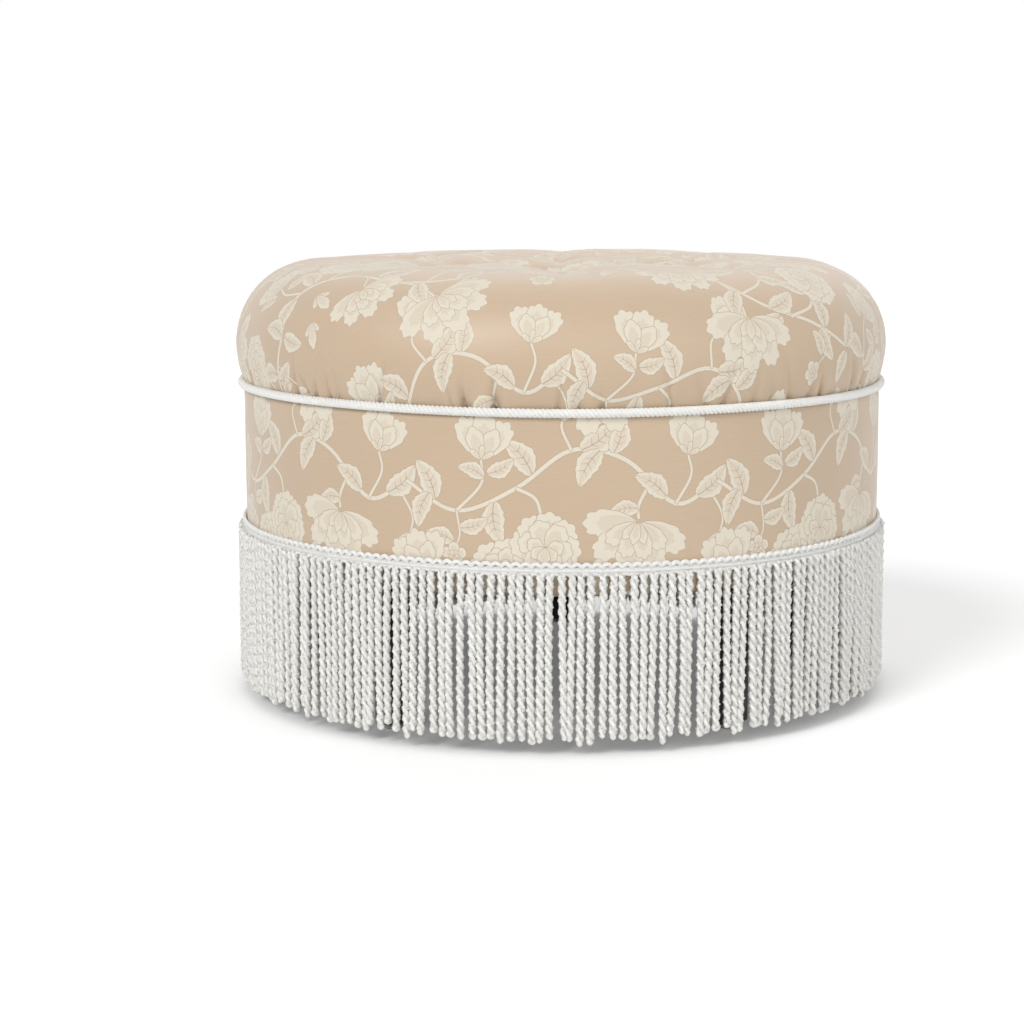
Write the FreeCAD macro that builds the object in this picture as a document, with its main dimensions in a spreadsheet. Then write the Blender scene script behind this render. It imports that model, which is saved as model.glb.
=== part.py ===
import FreeCAD, Part
import math
import os
import re
import Sketcher

# Round skirted tuffet: a boarded drum on five screwed-on legs, with a buttoned and pleated crown
# cushion, a cord over the join and a cotton fringe that hangs to the floor.
# Millimetres, +Z up, origin on the floor under the centre, and the front at -Y.

Vector = FreeCAD.Vector
UP = Vector(0, 0, 1)
ORIGIN = Vector(0, 0, 0)
NEAR = 0.01

os.makedirs("parts", exist_ok=True)
doc = FreeCAD.newDocument("Tuffet")

# Driving sizes
SIZES = {
    # Overall
    "overall_width": 609.6,
    "overall_height": 406.4,
    # Legs, glides and their fastenings
    "leg_count": 5,
    "leg_first_angle": 90,
    "leg_diameter": 31.5,
    "leg_length": 130,
    "leg_margin": 19.25,
    "foot_round": 4,
    "glide_diameter": 22,
    "glide_height": 4,
    "glide_round": 1.5,
    "nail_diameter": 2.4,
    "nail_length": 14,
    "bolt_diameter": 7.8,
    "bolt_in_leg": 30,
    "bolt_past_nut": 3,
    "nut_flange_diameter": 22,
    "nut_flange_thickness": 1.6,
    "nut_barrel_diameter": 10.5,
    "nut_barrel_length": 12,
    "fit_clearance": 0.1,
    "leg_sides": 20,
    "rod_sides": 6,
    "button_sides": 12,
    # Frame
    "board_thickness": 15,
    "post_length": 120,
    "post_width": 38,
    "post_margin": 6,
    "wall_thickness": 4,
    "screw_diameter": 4,
    "screw_length": 42,
    "screw_head_diameter": 9,
    "screw_head_thickness": 2.2,
    # Flat faces round the drum, the crown and the trim
    "ring_sides": 56,
    # Side upholstery
    "side_setback": 6.3,
    "cover_thickness": 1.2,
    "cover_turn_under": 28,
    "side_padding_thickness": 6,
    "layer_clearance": 0.1,
    "dust_cover_thickness": 0.8,
    "dust_cover_margin": 10,
    # Crown cushion
    "bulge_drop": 81.4,
    "shoulder_round": 75,
    "crown_slope": 3,
    "waist_lift": 1,
    "side_steps": 2,
    "shoulder_steps": 5,
    "batting_over_foam": 9,
    "foam_chamfer": 20,
    # Tufts: one in the middle and a ring of them, joined by pleats that run out over the shoulder
    "tuft_count": 8,
    "tuft_first_angle": -90,
    "tuft_ring_radius": 137,
    "tuft_depth": 20,
    "tuft_flare": 45,
    "pleat_depth": 7,
    "pleat_flare": 78,
    "pleat_reach": 25,
    "ring_pleat_depth": 5,
    "pleat_end_lean": 25,
    "button_diameter": 28,
    "button_height": 9,
    "button_dome": 6.5,
    "dome_steps": 2,
    "dome_share": 0.8,
    "button_gap": 1.5,
    "twine_diameter": 2.2,
    "knot_diameter": 6,
    "knot_length": 4,
    "washer_diameter": 24,
    "washer_thickness": 2,
    # Cord over the join of cushion and drum
    "cord_diameter": 7,
    "cord_stand_out": 2,
    "cord_lift": 3,
    "cord_sides": 6,
    # Fringe
    "header_lift": 17.5,
    "header_height": 12.5,
    "header_thickness": 3.4,
    "strand_diameter": 5.8,
    "strand_pitch": 8.46,
    "strand_sides": 4,
    "strand_floor_gap": 12.5,
    "strand_unevenness": 2.5,
}

# Heights and radii that follow from the driving sizes, from the floor up and from the skin in
PLACES = {
    "base_height": "glide_height + leg_length",
    "board_bottom": "base_height + dust_cover_thickness + cover_thickness",
    "board_top": "board_bottom + board_thickness",
    "seat_bottom": "board_top + post_length",
    "seat_top": "seat_bottom + board_thickness",
    "cushion_radius": "overall_width / 2",
    "side_radius": "cushion_radius - side_setback",
    "padding_radius": "side_radius - cover_thickness - layer_clearance",
    "wall_radius": "padding_radius - side_padding_thickness - layer_clearance",
    "board_radius": "wall_radius - wall_thickness - layer_clearance",
    "leg_ring_radius": "board_radius - leg_margin - leg_diameter / 2",
    "post_ring_radius": "board_radius - post_margin - post_width / 2",
    "post_first_angle": "leg_first_angle + 180 / leg_count",
    "bolt_bottom": "base_height - bolt_in_leg",
    "bolt_top": "board_top + nut_flange_thickness + bolt_past_nut",
    "cord_radius": "side_radius + cord_stand_out",
    "cord_height": "seat_top + cord_lift",
    "waist_radius": "cord_radius - cord_diameter / 2 - layer_clearance",
    "waist_height": "cord_height + waist_lift",
    "bulge_height": "overall_height - bulge_drop",
    "tuft_floor": "overall_height - tuft_depth",
    "foam_top": "tuft_floor - cover_thickness - batting_over_foam",
    "knot_bottom": "seat_bottom - washer_thickness - knot_length",
    "header_bottom": "base_height + header_lift",
    "header_radius": "side_radius + header_thickness",
    "strand_ring_radius": "side_radius / cos(180 / ring_sides) + strand_diameter / 2",
}

sheet = doc.addObject("Spreadsheet::Sheet", "Sizes")
for row, (alias, size) in enumerate(SIZES.items(), start=1):
    sheet.set("A%d" % row, alias.replace("_", " "))
    sheet.set("B%d" % row, str(size))
    sheet.setAlias("B%d" % row, alias)
doc.recompute()
places = doc.addObject("App::VarSet", "Places")


def full(text):
    """Write an expression on size and place names with the objects that hold them."""

    def owner(match):
        word = match.group(0)
        if word in SIZES:
            return "Sizes." + word
        return "Places." + word if word in PLACES else word

    return re.sub(r"[a-z][a-z_]+", owner, text)


for place, rule in PLACES.items():
    places.addProperty("App::PropertyFloat", place)
    places.setExpression(place, full(rule))
    doc.recompute()


def value(text):
    """Work an expression out as a plain number."""
    return float(sheet.evalExpression(full(text)))


def around(radius, first, index, count):
    """Give the expressions of one place in a ring, counted from its first angle."""
    angle = "%s + 360 * %d / %s" % (first, index, count)
    return "%s * cos(%s)" % (radius, angle), "%s * sin(%s)" % (radius, angle)


def ring_places(radius, first, count):
    """Give the expressions of every place in a ring."""
    return [around(radius, first, index, count) for index in range(round(value(count)))]


# Rings of like pieces: radius, angle of the first and how many
LEG_RING = ("leg_ring_radius", "leg_first_angle", "leg_count")
POST_RING = ("post_ring_radius", "post_first_angle", "leg_count")
TUFT_RING = ("tuft_ring_radius", "tuft_first_angle", "tuft_count")
TUFT_PLACES = [("0", "0")] + ring_places(*TUFT_RING)


# Sketches and features
def new_body(name):
    body = doc.addObject("PartDesign::Body", name)
    body.Label = name
    return body


def new_sketch(body, name, role, lift="0"):
    """Attach a sketch to one of the body's own origin planes, raised along its normal."""
    sketch = body.newObject("Sketcher::SketchObject", name)
    plane = next(item for item in body.Origin.OriginFeatures if item.Role == role)
    sketch.AttachmentSupport = (plane, [""])
    sketch.MapMode = "FlatFace"
    sketch.setExpression("AttachmentOffset.Base.z", full(lift))
    return sketch


def pin_point(sketch, geometry, point, x, y):
    """Hold a sketch point at the place that two expressions give."""
    for kind, text in (("DistanceX", x), ("DistanceY", y)):
        item = sketch.addConstraint(Sketcher.Constraint(kind, -1, 1, geometry, point, value(text)))
        sketch.setExpression("Constraints[%d]" % item, full(text))


def draw_outline(sketch, points):
    """Draw a closed outline whose corners are pairs of expressions."""
    corners = [Vector(value(x), value(y), 0) for x, y in points]
    lines = [
        sketch.addGeometry(Part.LineSegment(start, end), False)
        for start, end in zip(corners, corners[1:] + corners[:1])
    ]
    for line, following in zip(lines, lines[1:] + lines[:1]):
        sketch.addConstraint(Sketcher.Constraint("Coincident", line, 2, following, 1))
    for line, (x, y) in zip(lines, points):
        pin_point(sketch, line, 1, x, y)


def extrude(body, kind, sketch, length):
    """Pad or pocket a sketch upwards, and make sure that a pocket removes something."""
    before = body.Shape.Volume if kind == "Pocket" else 0
    feature = body.newObject("PartDesign::" + kind, sketch.Name + "_" + kind.lower())
    feature.Profile = sketch
    feature.setExpression("Length", full(length))
    feature.Reversed = kind == "Pocket"
    doc.recompute()
    if kind == "Pocket" and not body.Shape.Volume < before:
        raise RuntimeError("%s removes nothing" % feature.Name)
    return feature


def repeat_round(body, feature, count):
    """Repeat the last feature round the upright axis."""
    pattern = body.newObject("PartDesign::PolarPattern", feature.Name + "_ring")
    axis = next(item for item in body.Origin.OriginFeatures if item.Role == "Z_Axis")
    pattern.Originals = [feature]
    pattern.Axis = (axis, [""])
    pattern.Angle = 360
    pattern.setExpression("Occurrences", full(count))
    body.Tip = pattern
    doc.recompute()


def first_place(ring):
    return around(ring[0], ring[1], 0, ring[2]) if ring else ("0", "0")


def rods(body, kind, name, lift, length, diameter, ring=None, sides="rod_sides"):
    """Pad or pocket a many-sided rod, on the upright axis or in a ring with a corner outwards."""
    sketch = new_sketch(body, body.Name + "_" + name, "XY_Plane", lift)
    x, y = first_place(ring)
    corners = ring_places("(%s) / 2" % diameter, ring[1] if ring else "0", sides)
    draw_outline(sketch, [("%s + %s" % (x, dx), "%s + %s" % (y, dy)) for dx, dy in corners])
    feature = extrude(body, kind, sketch, length)
    if ring:
        repeat_round(body, feature, ring[2])


def drum(body, kind, name, radius, bottom, top):
    """Add or take away an upright drum of flat faces that touch a round of this radius."""
    before = body.Shape.Volume if kind == "Subtractive" else 0
    solid = body.newObject("PartDesign::%sPrism" % kind, body.Name + "_" + name)
    solid.AttachmentSupport = (next(i for i in body.Origin.OriginFeatures if i.Role == "XY_Plane"), [""])
    solid.MapMode = "FlatFace"
    solid.setExpression("AttachmentOffset.Base.z", full(bottom))
    solid.setExpression("Polygon", full("ring_sides"))
    solid.setExpression("Circumradius", full("(%s) / cos(180 / ring_sides)" % radius))
    solid.setExpression("Height", full("%s - (%s)" % (top, bottom)))
    doc.recompute()
    if kind == "Subtractive" and not body.Shape.Volume < before:
        raise RuntimeError("%s removes nothing" % solid.Name)


def many_sided(section, sides, hollow=False):
    """Make a solid of flat faces round the upright axis, or a ring, from its section's corners."""
    turns = [FreeCAD.Rotation(UP, 360 * side / sides) for side in range(sides)]
    rings = [[turn.multVec(point) for turn in turns] for point in section]
    ends = [] if hollow else [rings[0], rings[-1]]
    faces = [Part.Face(Part.makePolygon(ring + ring[:1])) for ring in ends]
    for low, high in zip(rings, rings[1:] + (rings[:1] if hollow else [])):
        for side in range(sides):
            corners = [low[side - 1], low[side], high[side], high[side - 1]]
            faces.append(Part.Face(Part.makePolygon(corners + corners[:1])))
    return Part.makeSolid(Part.makeShell(faces))


def new_piece(name, shape):
    """Add a piece whose shape comes from the sheet's values and not from sketches."""
    piece = doc.addObject("Part::Feature", name)
    piece.Label = name
    piece.Shape = shape
    return piece


def chamfer_edges(body, height, size):
    """Chamfer the round edges that lie at a height."""
    level = value(height)
    edges = [
        "Edge%d" % (index + 1)
        for index, edge in enumerate(body.Shape.Edges)
        if abs(edge.BoundBox.ZMin - level) < NEAR and abs(edge.BoundBox.ZMax - level) < NEAR
    ]
    solid = body.Tip
    feature = body.newObject("PartDesign::Chamfer", body.Name + "_chamfer")
    feature.Base = (solid, edges)
    feature.setExpression("Size", full(size))
    doc.recompute()
    return feature


def stand_in_ring(item, ring, index):
    """Stand a finished piece at its place in a ring, turned to face outwards."""
    radius, first, count = ring
    turn = value("%s + 360 * %d / %s" % (first, index, count))
    item.Placement = FreeCAD.Placement(ORIGIN, FreeCAD.Rotation(UP, turn))
    x, y = around(radius, first, index, count)
    item.setExpression("Placement.Base.x", full(x))
    item.setExpression("Placement.Base.y", full(y))


# Legs: turned black wood with a softened foot, bored for the hanger bolt and the glide's nail
def make_leg(name, index):
    leg = new_body(name)
    rods(leg, "Pad", "post", "glide_height", "leg_length", "leg_diameter", sides="leg_sides")
    chamfer_edges(leg, "glide_height", "foot_round")
    bolt_hole = "bolt_diameter + 2 * fit_clearance"
    rods(leg, "Pocket", "bolt_hole", "bolt_bottom", "bolt_in_leg", bolt_hole)
    nail_hole = "nail_diameter + 2 * fit_clearance"
    rods(leg, "Pocket", "nail_hole", "glide_height", "nail_length", nail_hole)
    stand_in_ring(leg, LEG_RING, index)
    return leg


def make_glides():
    """Make the glides: pads with a flat sole and a softened rim, nailed up into the feet."""
    radius = value("glide_diameter / 2")
    softening = value("glide_round")
    height = value("glide_height")
    nail_radius = value("nail_diameter / 2")
    nail_top = height + value("nail_length")
    glide = many_sided([
        Vector(radius - softening, 0, 0),
        Vector(radius, 0, softening),
        Vector(radius, 0, height),
        Vector(nail_radius, 0, height),
        Vector(nail_radius, 0, nail_top),
    ], round(value("button_sides")))
    places = [Vector(value(x), value(y), 0) for x, y in ring_places(*LEG_RING)]
    return new_piece("leg_glides", Part.makeCompound([glide.translated(place) for place in places]))


def make_hanger_bolts():
    bolts = new_body("hanger_bolts")
    rods(bolts, "Pad", "rod", "bolt_bottom", "bolt_top - bolt_bottom", "bolt_diameter", LEG_RING)
    return bolts


def make_tee_nuts():
    nuts = new_body("tee_nuts")
    barrel_bottom = "board_top - nut_barrel_length"
    height = "nut_barrel_length + nut_flange_thickness"
    rods(nuts, "Pad", "barrel", barrel_bottom, height, "nut_barrel_diameter", LEG_RING)
    flange = ("board_top", "nut_flange_thickness", "nut_flange_diameter")
    rods(nuts, "Pad", "flange", *flange, LEG_RING)
    bore = "bolt_diameter + 2 * fit_clearance"
    rods(nuts, "Pocket", "bore", barrel_bottom, height, bore, LEG_RING)
    return nuts


# Frame: two plywood discs held apart by posts, with a bent board wall round them
def make_board(name, bottom):
    board = new_body(name)
    drum(board, "Additive", "disc", "board_radius", bottom, "%s + board_thickness" % bottom)
    screw_hole = "screw_diameter + 2 * fit_clearance"
    rods(board, "Pocket", "screw_holes", bottom, "board_thickness", screw_hole, POST_RING)
    return board


def sink_screw_heads(board, lift):
    head_hole = "screw_head_diameter + 2 * fit_clearance"
    rods(board, "Pocket", "head_holes", lift, "screw_head_thickness", head_hole, POST_RING)


def make_base_board():
    board = make_board("base_board", "board_bottom")
    sink_screw_heads(board, "board_bottom")
    nut_hole = "nut_barrel_diameter + 2 * fit_clearance"
    rods(board, "Pocket", "nut_holes", "board_bottom", "board_thickness", nut_hole, LEG_RING)
    return board


def make_seat_board():
    board = make_board("seat_board", "seat_bottom")
    sink_screw_heads(board, "seat_top - screw_head_thickness")
    twine_hole = "twine_diameter + 2 * fit_clearance"
    for name, tufts in (("middle_twine", None), ("twines", TUFT_RING)):
        rods(board, "Pocket", name, "seat_bottom", "board_thickness", twine_hole, tufts)
    return board


def make_post(name, index):
    """Make one upright of square timber, bored at both ends."""
    post = new_body(name)
    sketch = new_sketch(post, name + "_section", "XY_Plane", "board_top")
    near, far = "-post_width / 2", "post_width / 2"
    draw_outline(sketch, [(near, near), (far, near), (far, far), (near, far)])
    extrude(post, "Pad", sketch, "post_length")
    depth = "screw_length - board_thickness"
    pilot = "screw_diameter + 2 * fit_clearance"
    rods(post, "Pocket", "lower_pilot", "board_top", depth, pilot)
    rods(post, "Pocket", "upper_pilot", "seat_bottom - (%s)" % depth, depth, pilot)
    stand_in_ring(post, POST_RING, index)
    return post


def make_frame_screws():
    """Make the screws that hold both boards to the posts, with their heads flush in the boards."""
    screws = new_body("frame_screws")
    shank = ("screw_length", "screw_diameter")
    head = ("screw_head_thickness", "screw_head_diameter")
    rods(screws, "Pad", "lower_shank", "board_bottom", *shank, POST_RING)
    rods(screws, "Pad", "lower_head", "board_bottom", *head, POST_RING)
    rods(screws, "Pad", "upper_shank", "seat_top - screw_length", *shank, POST_RING)
    rods(screws, "Pad", "upper_head", "seat_top - screw_head_thickness", *head, POST_RING)
    return screws


def make_tube(name, outer, inner, bottom, top):
    """Make a wall between two radii and two heights."""
    tube = new_body(name)
    drum(tube, "Additive", "outside", outer, bottom, top)
    drum(tube, "Subtractive", "inside", inner, bottom, top)
    return tube


def make_drum_wall():
    inner = "wall_radius - wall_thickness"
    return make_tube("drum_wall", "wall_radius", inner, "board_bottom", "seat_top")


def make_side_padding():
    inner = "padding_radius - side_padding_thickness"
    return make_tube("side_padding", "padding_radius", inner, "board_bottom", "seat_top")


def make_side_cover():
    """Make the side's fabric, turned under the base board."""
    cover = new_body("side_cover")
    inner = "side_radius - cover_thickness"
    under_edge = "side_radius - cover_turn_under"
    under_bottom = "board_bottom - cover_thickness"
    drum(cover, "Additive", "outside", "side_radius", under_bottom, "seat_top")
    drum(cover, "Subtractive", "inside", inner, "board_bottom", "seat_top")
    drum(cover, "Subtractive", "opening", under_edge, under_bottom, "board_bottom")
    return cover


def make_dust_cover():
    """Make the black cloth under the base, which hides the turned edge of the side cover."""
    cloth = new_body("dust_cover")
    top = "base_height + dust_cover_thickness"
    drum(cloth, "Additive", "cloth", "board_radius - dust_cover_margin", "base_height", top)
    bolt_hole = "bolt_diameter + 2 * fit_clearance"
    size = ("base_height", "dust_cover_thickness", bolt_hole)
    rods(cloth, "Pocket", "bolt_holes", *size, LEG_RING)
    return cloth


# Crown cushion
def arc_points(centre, radius, first, last, steps):
    """Give the points of an arc in the section's plane, by angles from straight up."""
    angles = [first + (last - first) * step / steps for step in range(steps + 1)]
    return [centre + Vector(radius * math.sin(angle), 0, radius * math.cos(angle)) for angle in angles]


def plain_crown(inset):
    """Make the cushion's side, shoulder and gentle slope, drawn in by a layer's depth."""
    slope = math.radians(value("crown_slope"))
    bottom = Vector(0, 0, value("seat_top"))
    top = Vector(0, 0, value("overall_height") - inset)
    waist = Vector(value("waist_radius") - inset, 0, value("waist_height"))
    bulge = Vector(value("cushion_radius") - inset, 0, value("bulge_height"))
    rise = bulge.z - waist.z
    bow = bulge.x - waist.x
    side_round = (rise**2 + bow**2) / (2 * bow)
    side_centre = bulge - Vector(side_round, 0, 0)
    low = math.pi / 2 + math.asin(rise / side_round)
    steps = round(value("side_steps"))
    side = arc_points(side_centre, side_round, low, math.pi / 2, steps)
    shoulder_round = value("shoulder_round") - inset
    shoulder_centre = bulge - Vector(shoulder_round, 0, 0)
    steps = round(value("shoulder_steps"))
    shoulder = arc_points(shoulder_centre, shoulder_round, math.pi / 2, slope, steps)
    flat = shoulder[-1].x - (top.z - shoulder[-1].z) / math.tan(slope)
    section = [bottom + Vector(waist.x, 0, 0)] + side + shoulder[1:] + [top + Vector(flat, 0, 0)]
    return many_sided(section, round(value("ring_sides")))


def pleat(start, end):
    """Make the wedge that one pleat takes out of the crown, with its sharp edge along a line."""
    run = end - start
    side = UP.cross(run).normalize()
    rise = UP * value("pleat_reach")
    spread = side * value("pleat_reach * tan(pleat_flare)")
    corners = [start, start + rise + spread, start + rise - spread]
    return Part.Face(Part.makePolygon(corners + corners[:1])).extrude(run)


def crown(inset):
    """Make the buttoned and pleated crown as a solid, drawn in all over by a layer's depth."""
    tufts = [Vector(value(x), value(y), 0) for x, y in TUFT_PLACES]
    middle, outer_ring = tufts[0], tufts[1:]
    valley = UP * (value("overall_height - pleat_depth") - inset)
    ring_valley = UP * (value("overall_height - ring_pleat_depth") - inset)
    tail_radius = value("cushion_radius - shoulder_round + shoulder_round * sin(pleat_end_lean)")
    tail = UP * (value("bulge_height + shoulder_round * cos(pleat_end_lean)") - inset)
    cuts = []
    for tuft, following in zip(outer_ring, outer_ring[1:] + outer_ring[:1]):
        outward = Vector(tuft).normalize()
        drop = (outward * tail_radius + tail) - (tuft + valley)
        cuts.append(pleat(middle + valley, tuft + valley))
        cuts.append(pleat(tuft + ring_valley, following + ring_valley))
        cuts.append(pleat(tuft + valley, tuft + valley + drop * 2))
    floor = Vector(value("button_diameter / 2 + button_gap") + inset, 0, value("tuft_floor") - inset)
    mouth = floor + Vector(value("pleat_reach * tan(tuft_flare)"), 0, value("pleat_reach"))
    well = many_sided([floor, mouth], round(value("button_sides")))
    for tuft in tufts:
        cuts.append(well.translated(tuft))
    return plain_crown(inset).cut(cuts)


def twine_passages():
    """Make the holes that the twines take through the cushion."""
    radius = value("twine_diameter / 2 + fit_clearance")
    bottom = value("seat_top")
    length = value("overall_height") - bottom
    passages = []
    for x, y in TUFT_PLACES:
        corners = [
            Vector(value(x) + value(dx) * radius, value(y) + value(dy) * radius, bottom)
            for dx, dy in ring_places("1", "0", "rod_sides")
        ]
        face = Part.Face(Part.makePolygon(corners + corners[:1]))
        passages.append(face.extrude(Vector(0, 0, length)))
    return passages


def make_foam():
    """Make the foam slab, with its top rim cut away, and give it with its block before piercing."""
    foam = new_body("cushion_foam")
    drum(foam, "Additive", "slab", "wall_radius", "seat_top", "foam_top")
    chamfer_edges(foam, "foam_top", "foam_chamfer")
    block = foam.Shape.copy()
    twine_hole = "twine_diameter + 2 * fit_clearance"
    height = "foam_top - seat_top"
    for name, tufts in (("middle_twine", None), ("twines", TUFT_RING)):
        rods(foam, "Pocket", name, "seat_top", height, twine_hole, tufts)
    return foam, block


def make_soft_layer(name, outside, inside):
    """Make one layer of the cushion as the space between two solids, pierced for the twines."""
    return new_piece(name, outside.cut(inside).cut(twine_passages()))


# Tufts: a covered button in each well, and its twine tied under the seat board on a washer
def make_buttons():
    """Make the fabric-covered buttons, domed and flat underneath."""
    radius = value("button_diameter / 2")
    dome = value("button_dome")
    floor = value("tuft_floor")
    top = floor + value("button_height")
    section = [Vector(radius, 0, floor)]
    for step in range(round(value("dome_steps")) + 1):
        angle = math.radians(90 * step / value("dome_steps") * value("dome_share"))
        section.append(Vector(radius * math.cos(angle), 0, top - dome + dome * math.sin(angle)))
    button = many_sided(section, round(value("button_sides")))
    places = [Vector(value(x), value(y), 0) for x, y in TUFT_PLACES]
    return new_piece("tuft_buttons", Part.makeCompound([button.translated(place) for place in places]))


def make_twines():
    """Make the twines, each from its button down through the cushion to a knot under the washer."""
    twines = new_body("tuft_twines")
    length = "tuft_floor - knot_bottom"
    knot = ("knot_bottom", "knot_length", "knot_diameter")
    for name, tufts in (("middle_", None), ("", TUFT_RING)):
        rods(twines, "Pad", name + "twine", "knot_bottom", length, "twine_diameter", tufts)
        rods(twines, "Pad", name + "knot", *knot, tufts)
    return twines


def make_washers():
    """Make the washers that spread each twine's pull under the seat board."""
    washers = new_body("tuft_washers")
    lift = "seat_bottom - washer_thickness"
    twine_hole = "twine_diameter + 2 * fit_clearance"
    for name, tufts in (("middle_", None), ("", TUFT_RING)):
        rods(washers, "Pad", name + "disc", lift, "washer_thickness", "washer_diameter", tufts)
        rods(washers, "Pocket", name + "twine", lift, "washer_thickness", twine_hole, tufts)
    return washers


# Trim
def make_cord():
    """Make the cord as a ring of many-sided section, in the groove under the cushion."""
    widening = value("1 / cos(180 / ring_sides)")
    section = [
        Vector(value("cord_radius + " + x) * widening, 0, value("cord_height + " + y))
        for x, y in ring_places("cord_diameter / 2", "0", "cord_sides")
    ]
    return new_piece("cord_trim", many_sided(section, round(value("ring_sides")), hollow=True))


def make_header():
    """Make the fringe's woven heading, glued round the lower edge of the side."""
    inner = "side_radius + layer_clearance"
    top = "header_bottom + header_height"
    return make_tube("fringe_header", "header_radius", inner, "header_bottom", top)


def make_strands():
    """Make the fringe's hanging strands as many-sided rods of uneven length, a corner sideways."""
    ring_radius = value("strand_ring_radius")
    radius = value("strand_diameter / 2")
    sides = round(value("strand_sides"))
    top = value("header_bottom")
    count = round(2 * math.pi * ring_radius / value("strand_pitch"))
    strands = []
    for index in range(count):
        ripple = math.sin(2.4 * index) + math.sin(0.7 * index)
        bottom = value("strand_floor_gap") + value("strand_unevenness") * ripple / 2
        corners = []
        for side in range(sides):
            angle = 2 * math.pi * side / sides
            across = Vector(radius * math.sin(angle), radius * math.cos(angle), 0)
            corners.append(Vector(ring_radius, 0, bottom) + across)
        rod = Part.Face(Part.makePolygon(corners + corners[:1])).extrude(UP * (top - bottom))
        rod.rotate(ORIGIN, UP, 360 * index / count)
        strands.append(rod)
    return new_piece("fringe_strands", Part.makeCompound(strands))


# Assembly
pieces = []
for index in range(round(value("leg_count"))):
    pieces.append(make_leg("leg_%d" % (index + 1), index))
    pieces.append(make_post("frame_post_%d" % (index + 1), index))
pieces += [make_glides(), make_hanger_bolts(), make_tee_nuts(), make_base_board(), make_seat_board()]
pieces += [make_frame_screws(), make_drum_wall(), make_side_padding(), make_side_cover()]
pieces += [make_dust_cover(), make_cord(), make_header(), make_strands()]

foam, foam_block = make_foam()
under_cover = crown(value("cover_thickness"))
pieces.append(foam)
pieces.append(make_soft_layer("cushion_batting", under_cover, foam_block))
pieces.append(make_soft_layer("top_cover", crown(0), under_cover))
pieces += [make_buttons(), make_twines(), make_washers()]

doc.recompute()
for item in doc.Objects:
    if "Invalid" in item.State or "Error" in item.State:
        raise RuntimeError("%s did not compute" % item.Name)
for piece in pieces:
    if piece.Shape.isNull() or not piece.Shape.isValid():
        raise RuntimeError("%s has no valid shape" % piece.Label)

for piece in pieces:
    piece.Shape.exportStep("parts/%s.step" % piece.Label)

whole = Part.makeCompound([piece.Shape for piece in pieces]).BoundBox
print("%d pieces, %.1f x %.1f x %.1f mm, from z = %.2f" % (
    len(pieces), whole.XLength, whole.YLength, whole.ZLength, whole.ZMin))
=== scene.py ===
"""Round upholstered footstool: patterned covers, cord, fringe, buttons and legs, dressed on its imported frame.

Lengths are in metres, the front of the stool is -Y, and Z is up.
"""

import math

import bmesh
import bpy
import numpy as np
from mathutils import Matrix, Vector, geometry


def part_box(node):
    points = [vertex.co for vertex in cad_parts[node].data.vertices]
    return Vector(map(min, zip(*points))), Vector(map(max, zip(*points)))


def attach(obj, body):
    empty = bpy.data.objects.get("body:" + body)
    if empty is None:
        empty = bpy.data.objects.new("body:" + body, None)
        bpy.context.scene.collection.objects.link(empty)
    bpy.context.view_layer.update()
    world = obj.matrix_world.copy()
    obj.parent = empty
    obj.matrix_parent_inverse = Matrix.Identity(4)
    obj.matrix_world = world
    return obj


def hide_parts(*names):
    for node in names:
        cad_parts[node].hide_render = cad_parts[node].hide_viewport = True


bl_info = {
    "name": "Fringed Footstool",
    "version": (1, 0, 0),
    "blender": (4, 5, 0),
    "location": "3D View > Sidebar > Footstool",
    "description": "Dresses the packed frame of a round, tufted and fringed footstool",
    "category": "Object",
}

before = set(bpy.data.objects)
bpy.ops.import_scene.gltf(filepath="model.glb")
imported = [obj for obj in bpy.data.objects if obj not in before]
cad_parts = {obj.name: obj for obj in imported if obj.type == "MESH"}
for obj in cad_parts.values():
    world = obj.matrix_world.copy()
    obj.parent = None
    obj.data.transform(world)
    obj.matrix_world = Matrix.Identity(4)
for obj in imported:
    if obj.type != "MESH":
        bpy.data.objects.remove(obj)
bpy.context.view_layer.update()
FULL_TURN = 2 * math.pi

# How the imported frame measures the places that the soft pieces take.


def radius_of(node):
    """Half the width of a CAD node that is round about the stool's axis."""
    low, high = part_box(node)
    return (high.x - low.x) / 2


def foot_of(node):
    """The lowest height of a CAD node."""
    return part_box(node)[0].z


def head_of(node):
    """The highest height of a CAD node."""
    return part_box(node)[1].z


# What a user of the add-on may change.


class FootstoolSizes(bpy.types.PropertyGroup):
    """Sizes of the soft pieces."""

    repeats: bpy.props.IntProperty(
        name="Repeats",
        description="Repeats of the woven pattern around the side",
        default=7,
    )
    repeat_height: bpy.props.FloatProperty(
        name="Repeat height",
        description="Height of one repeat of the woven pattern",
        default=0.29,
        unit="LENGTH",
    )
    pleat_depth: bpy.props.FloatProperty(
        name="Pleat depth",
        description="Depth of the pleats that run between the buttons",
        default=0.0072,
        unit="LENGTH",
    )
    pleat_reach: bpy.props.FloatProperty(
        name="Pleat reach",
        description="How far from a pleat the cloth is drawn down",
        default=0.034,
        unit="LENGTH",
    )
    button_width: bpy.props.FloatProperty(
        name="Button width",
        description="Diameter of a covered button",
        default=0.028,
        unit="LENGTH",
    )
    ring_buttons: bpy.props.IntProperty(
        name="Ring buttons",
        description="Buttons in the ring around the middle one",
        default=8,
    )
    cord_turns: bpy.props.IntProperty(
        name="Cord turns",
        description="Turns that each ply of the edge cord makes round the stool",
        default=155,
    )
    strand_count: bpy.props.IntProperty(
        name="Strands",
        description="Hanging strands of the fringe",
        default=224,
    )
    strand_width: bpy.props.FloatProperty(
        name="Strand width",
        description="Width of one twisted strand",
        default=0.0086,
        unit="LENGTH",
    )
    strand_lay: bpy.props.FloatProperty(
        name="Strand lay",
        description="Length in which the two plies of a strand turn once",
        default=0.0184,
        unit="LENGTH",
    )


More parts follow.
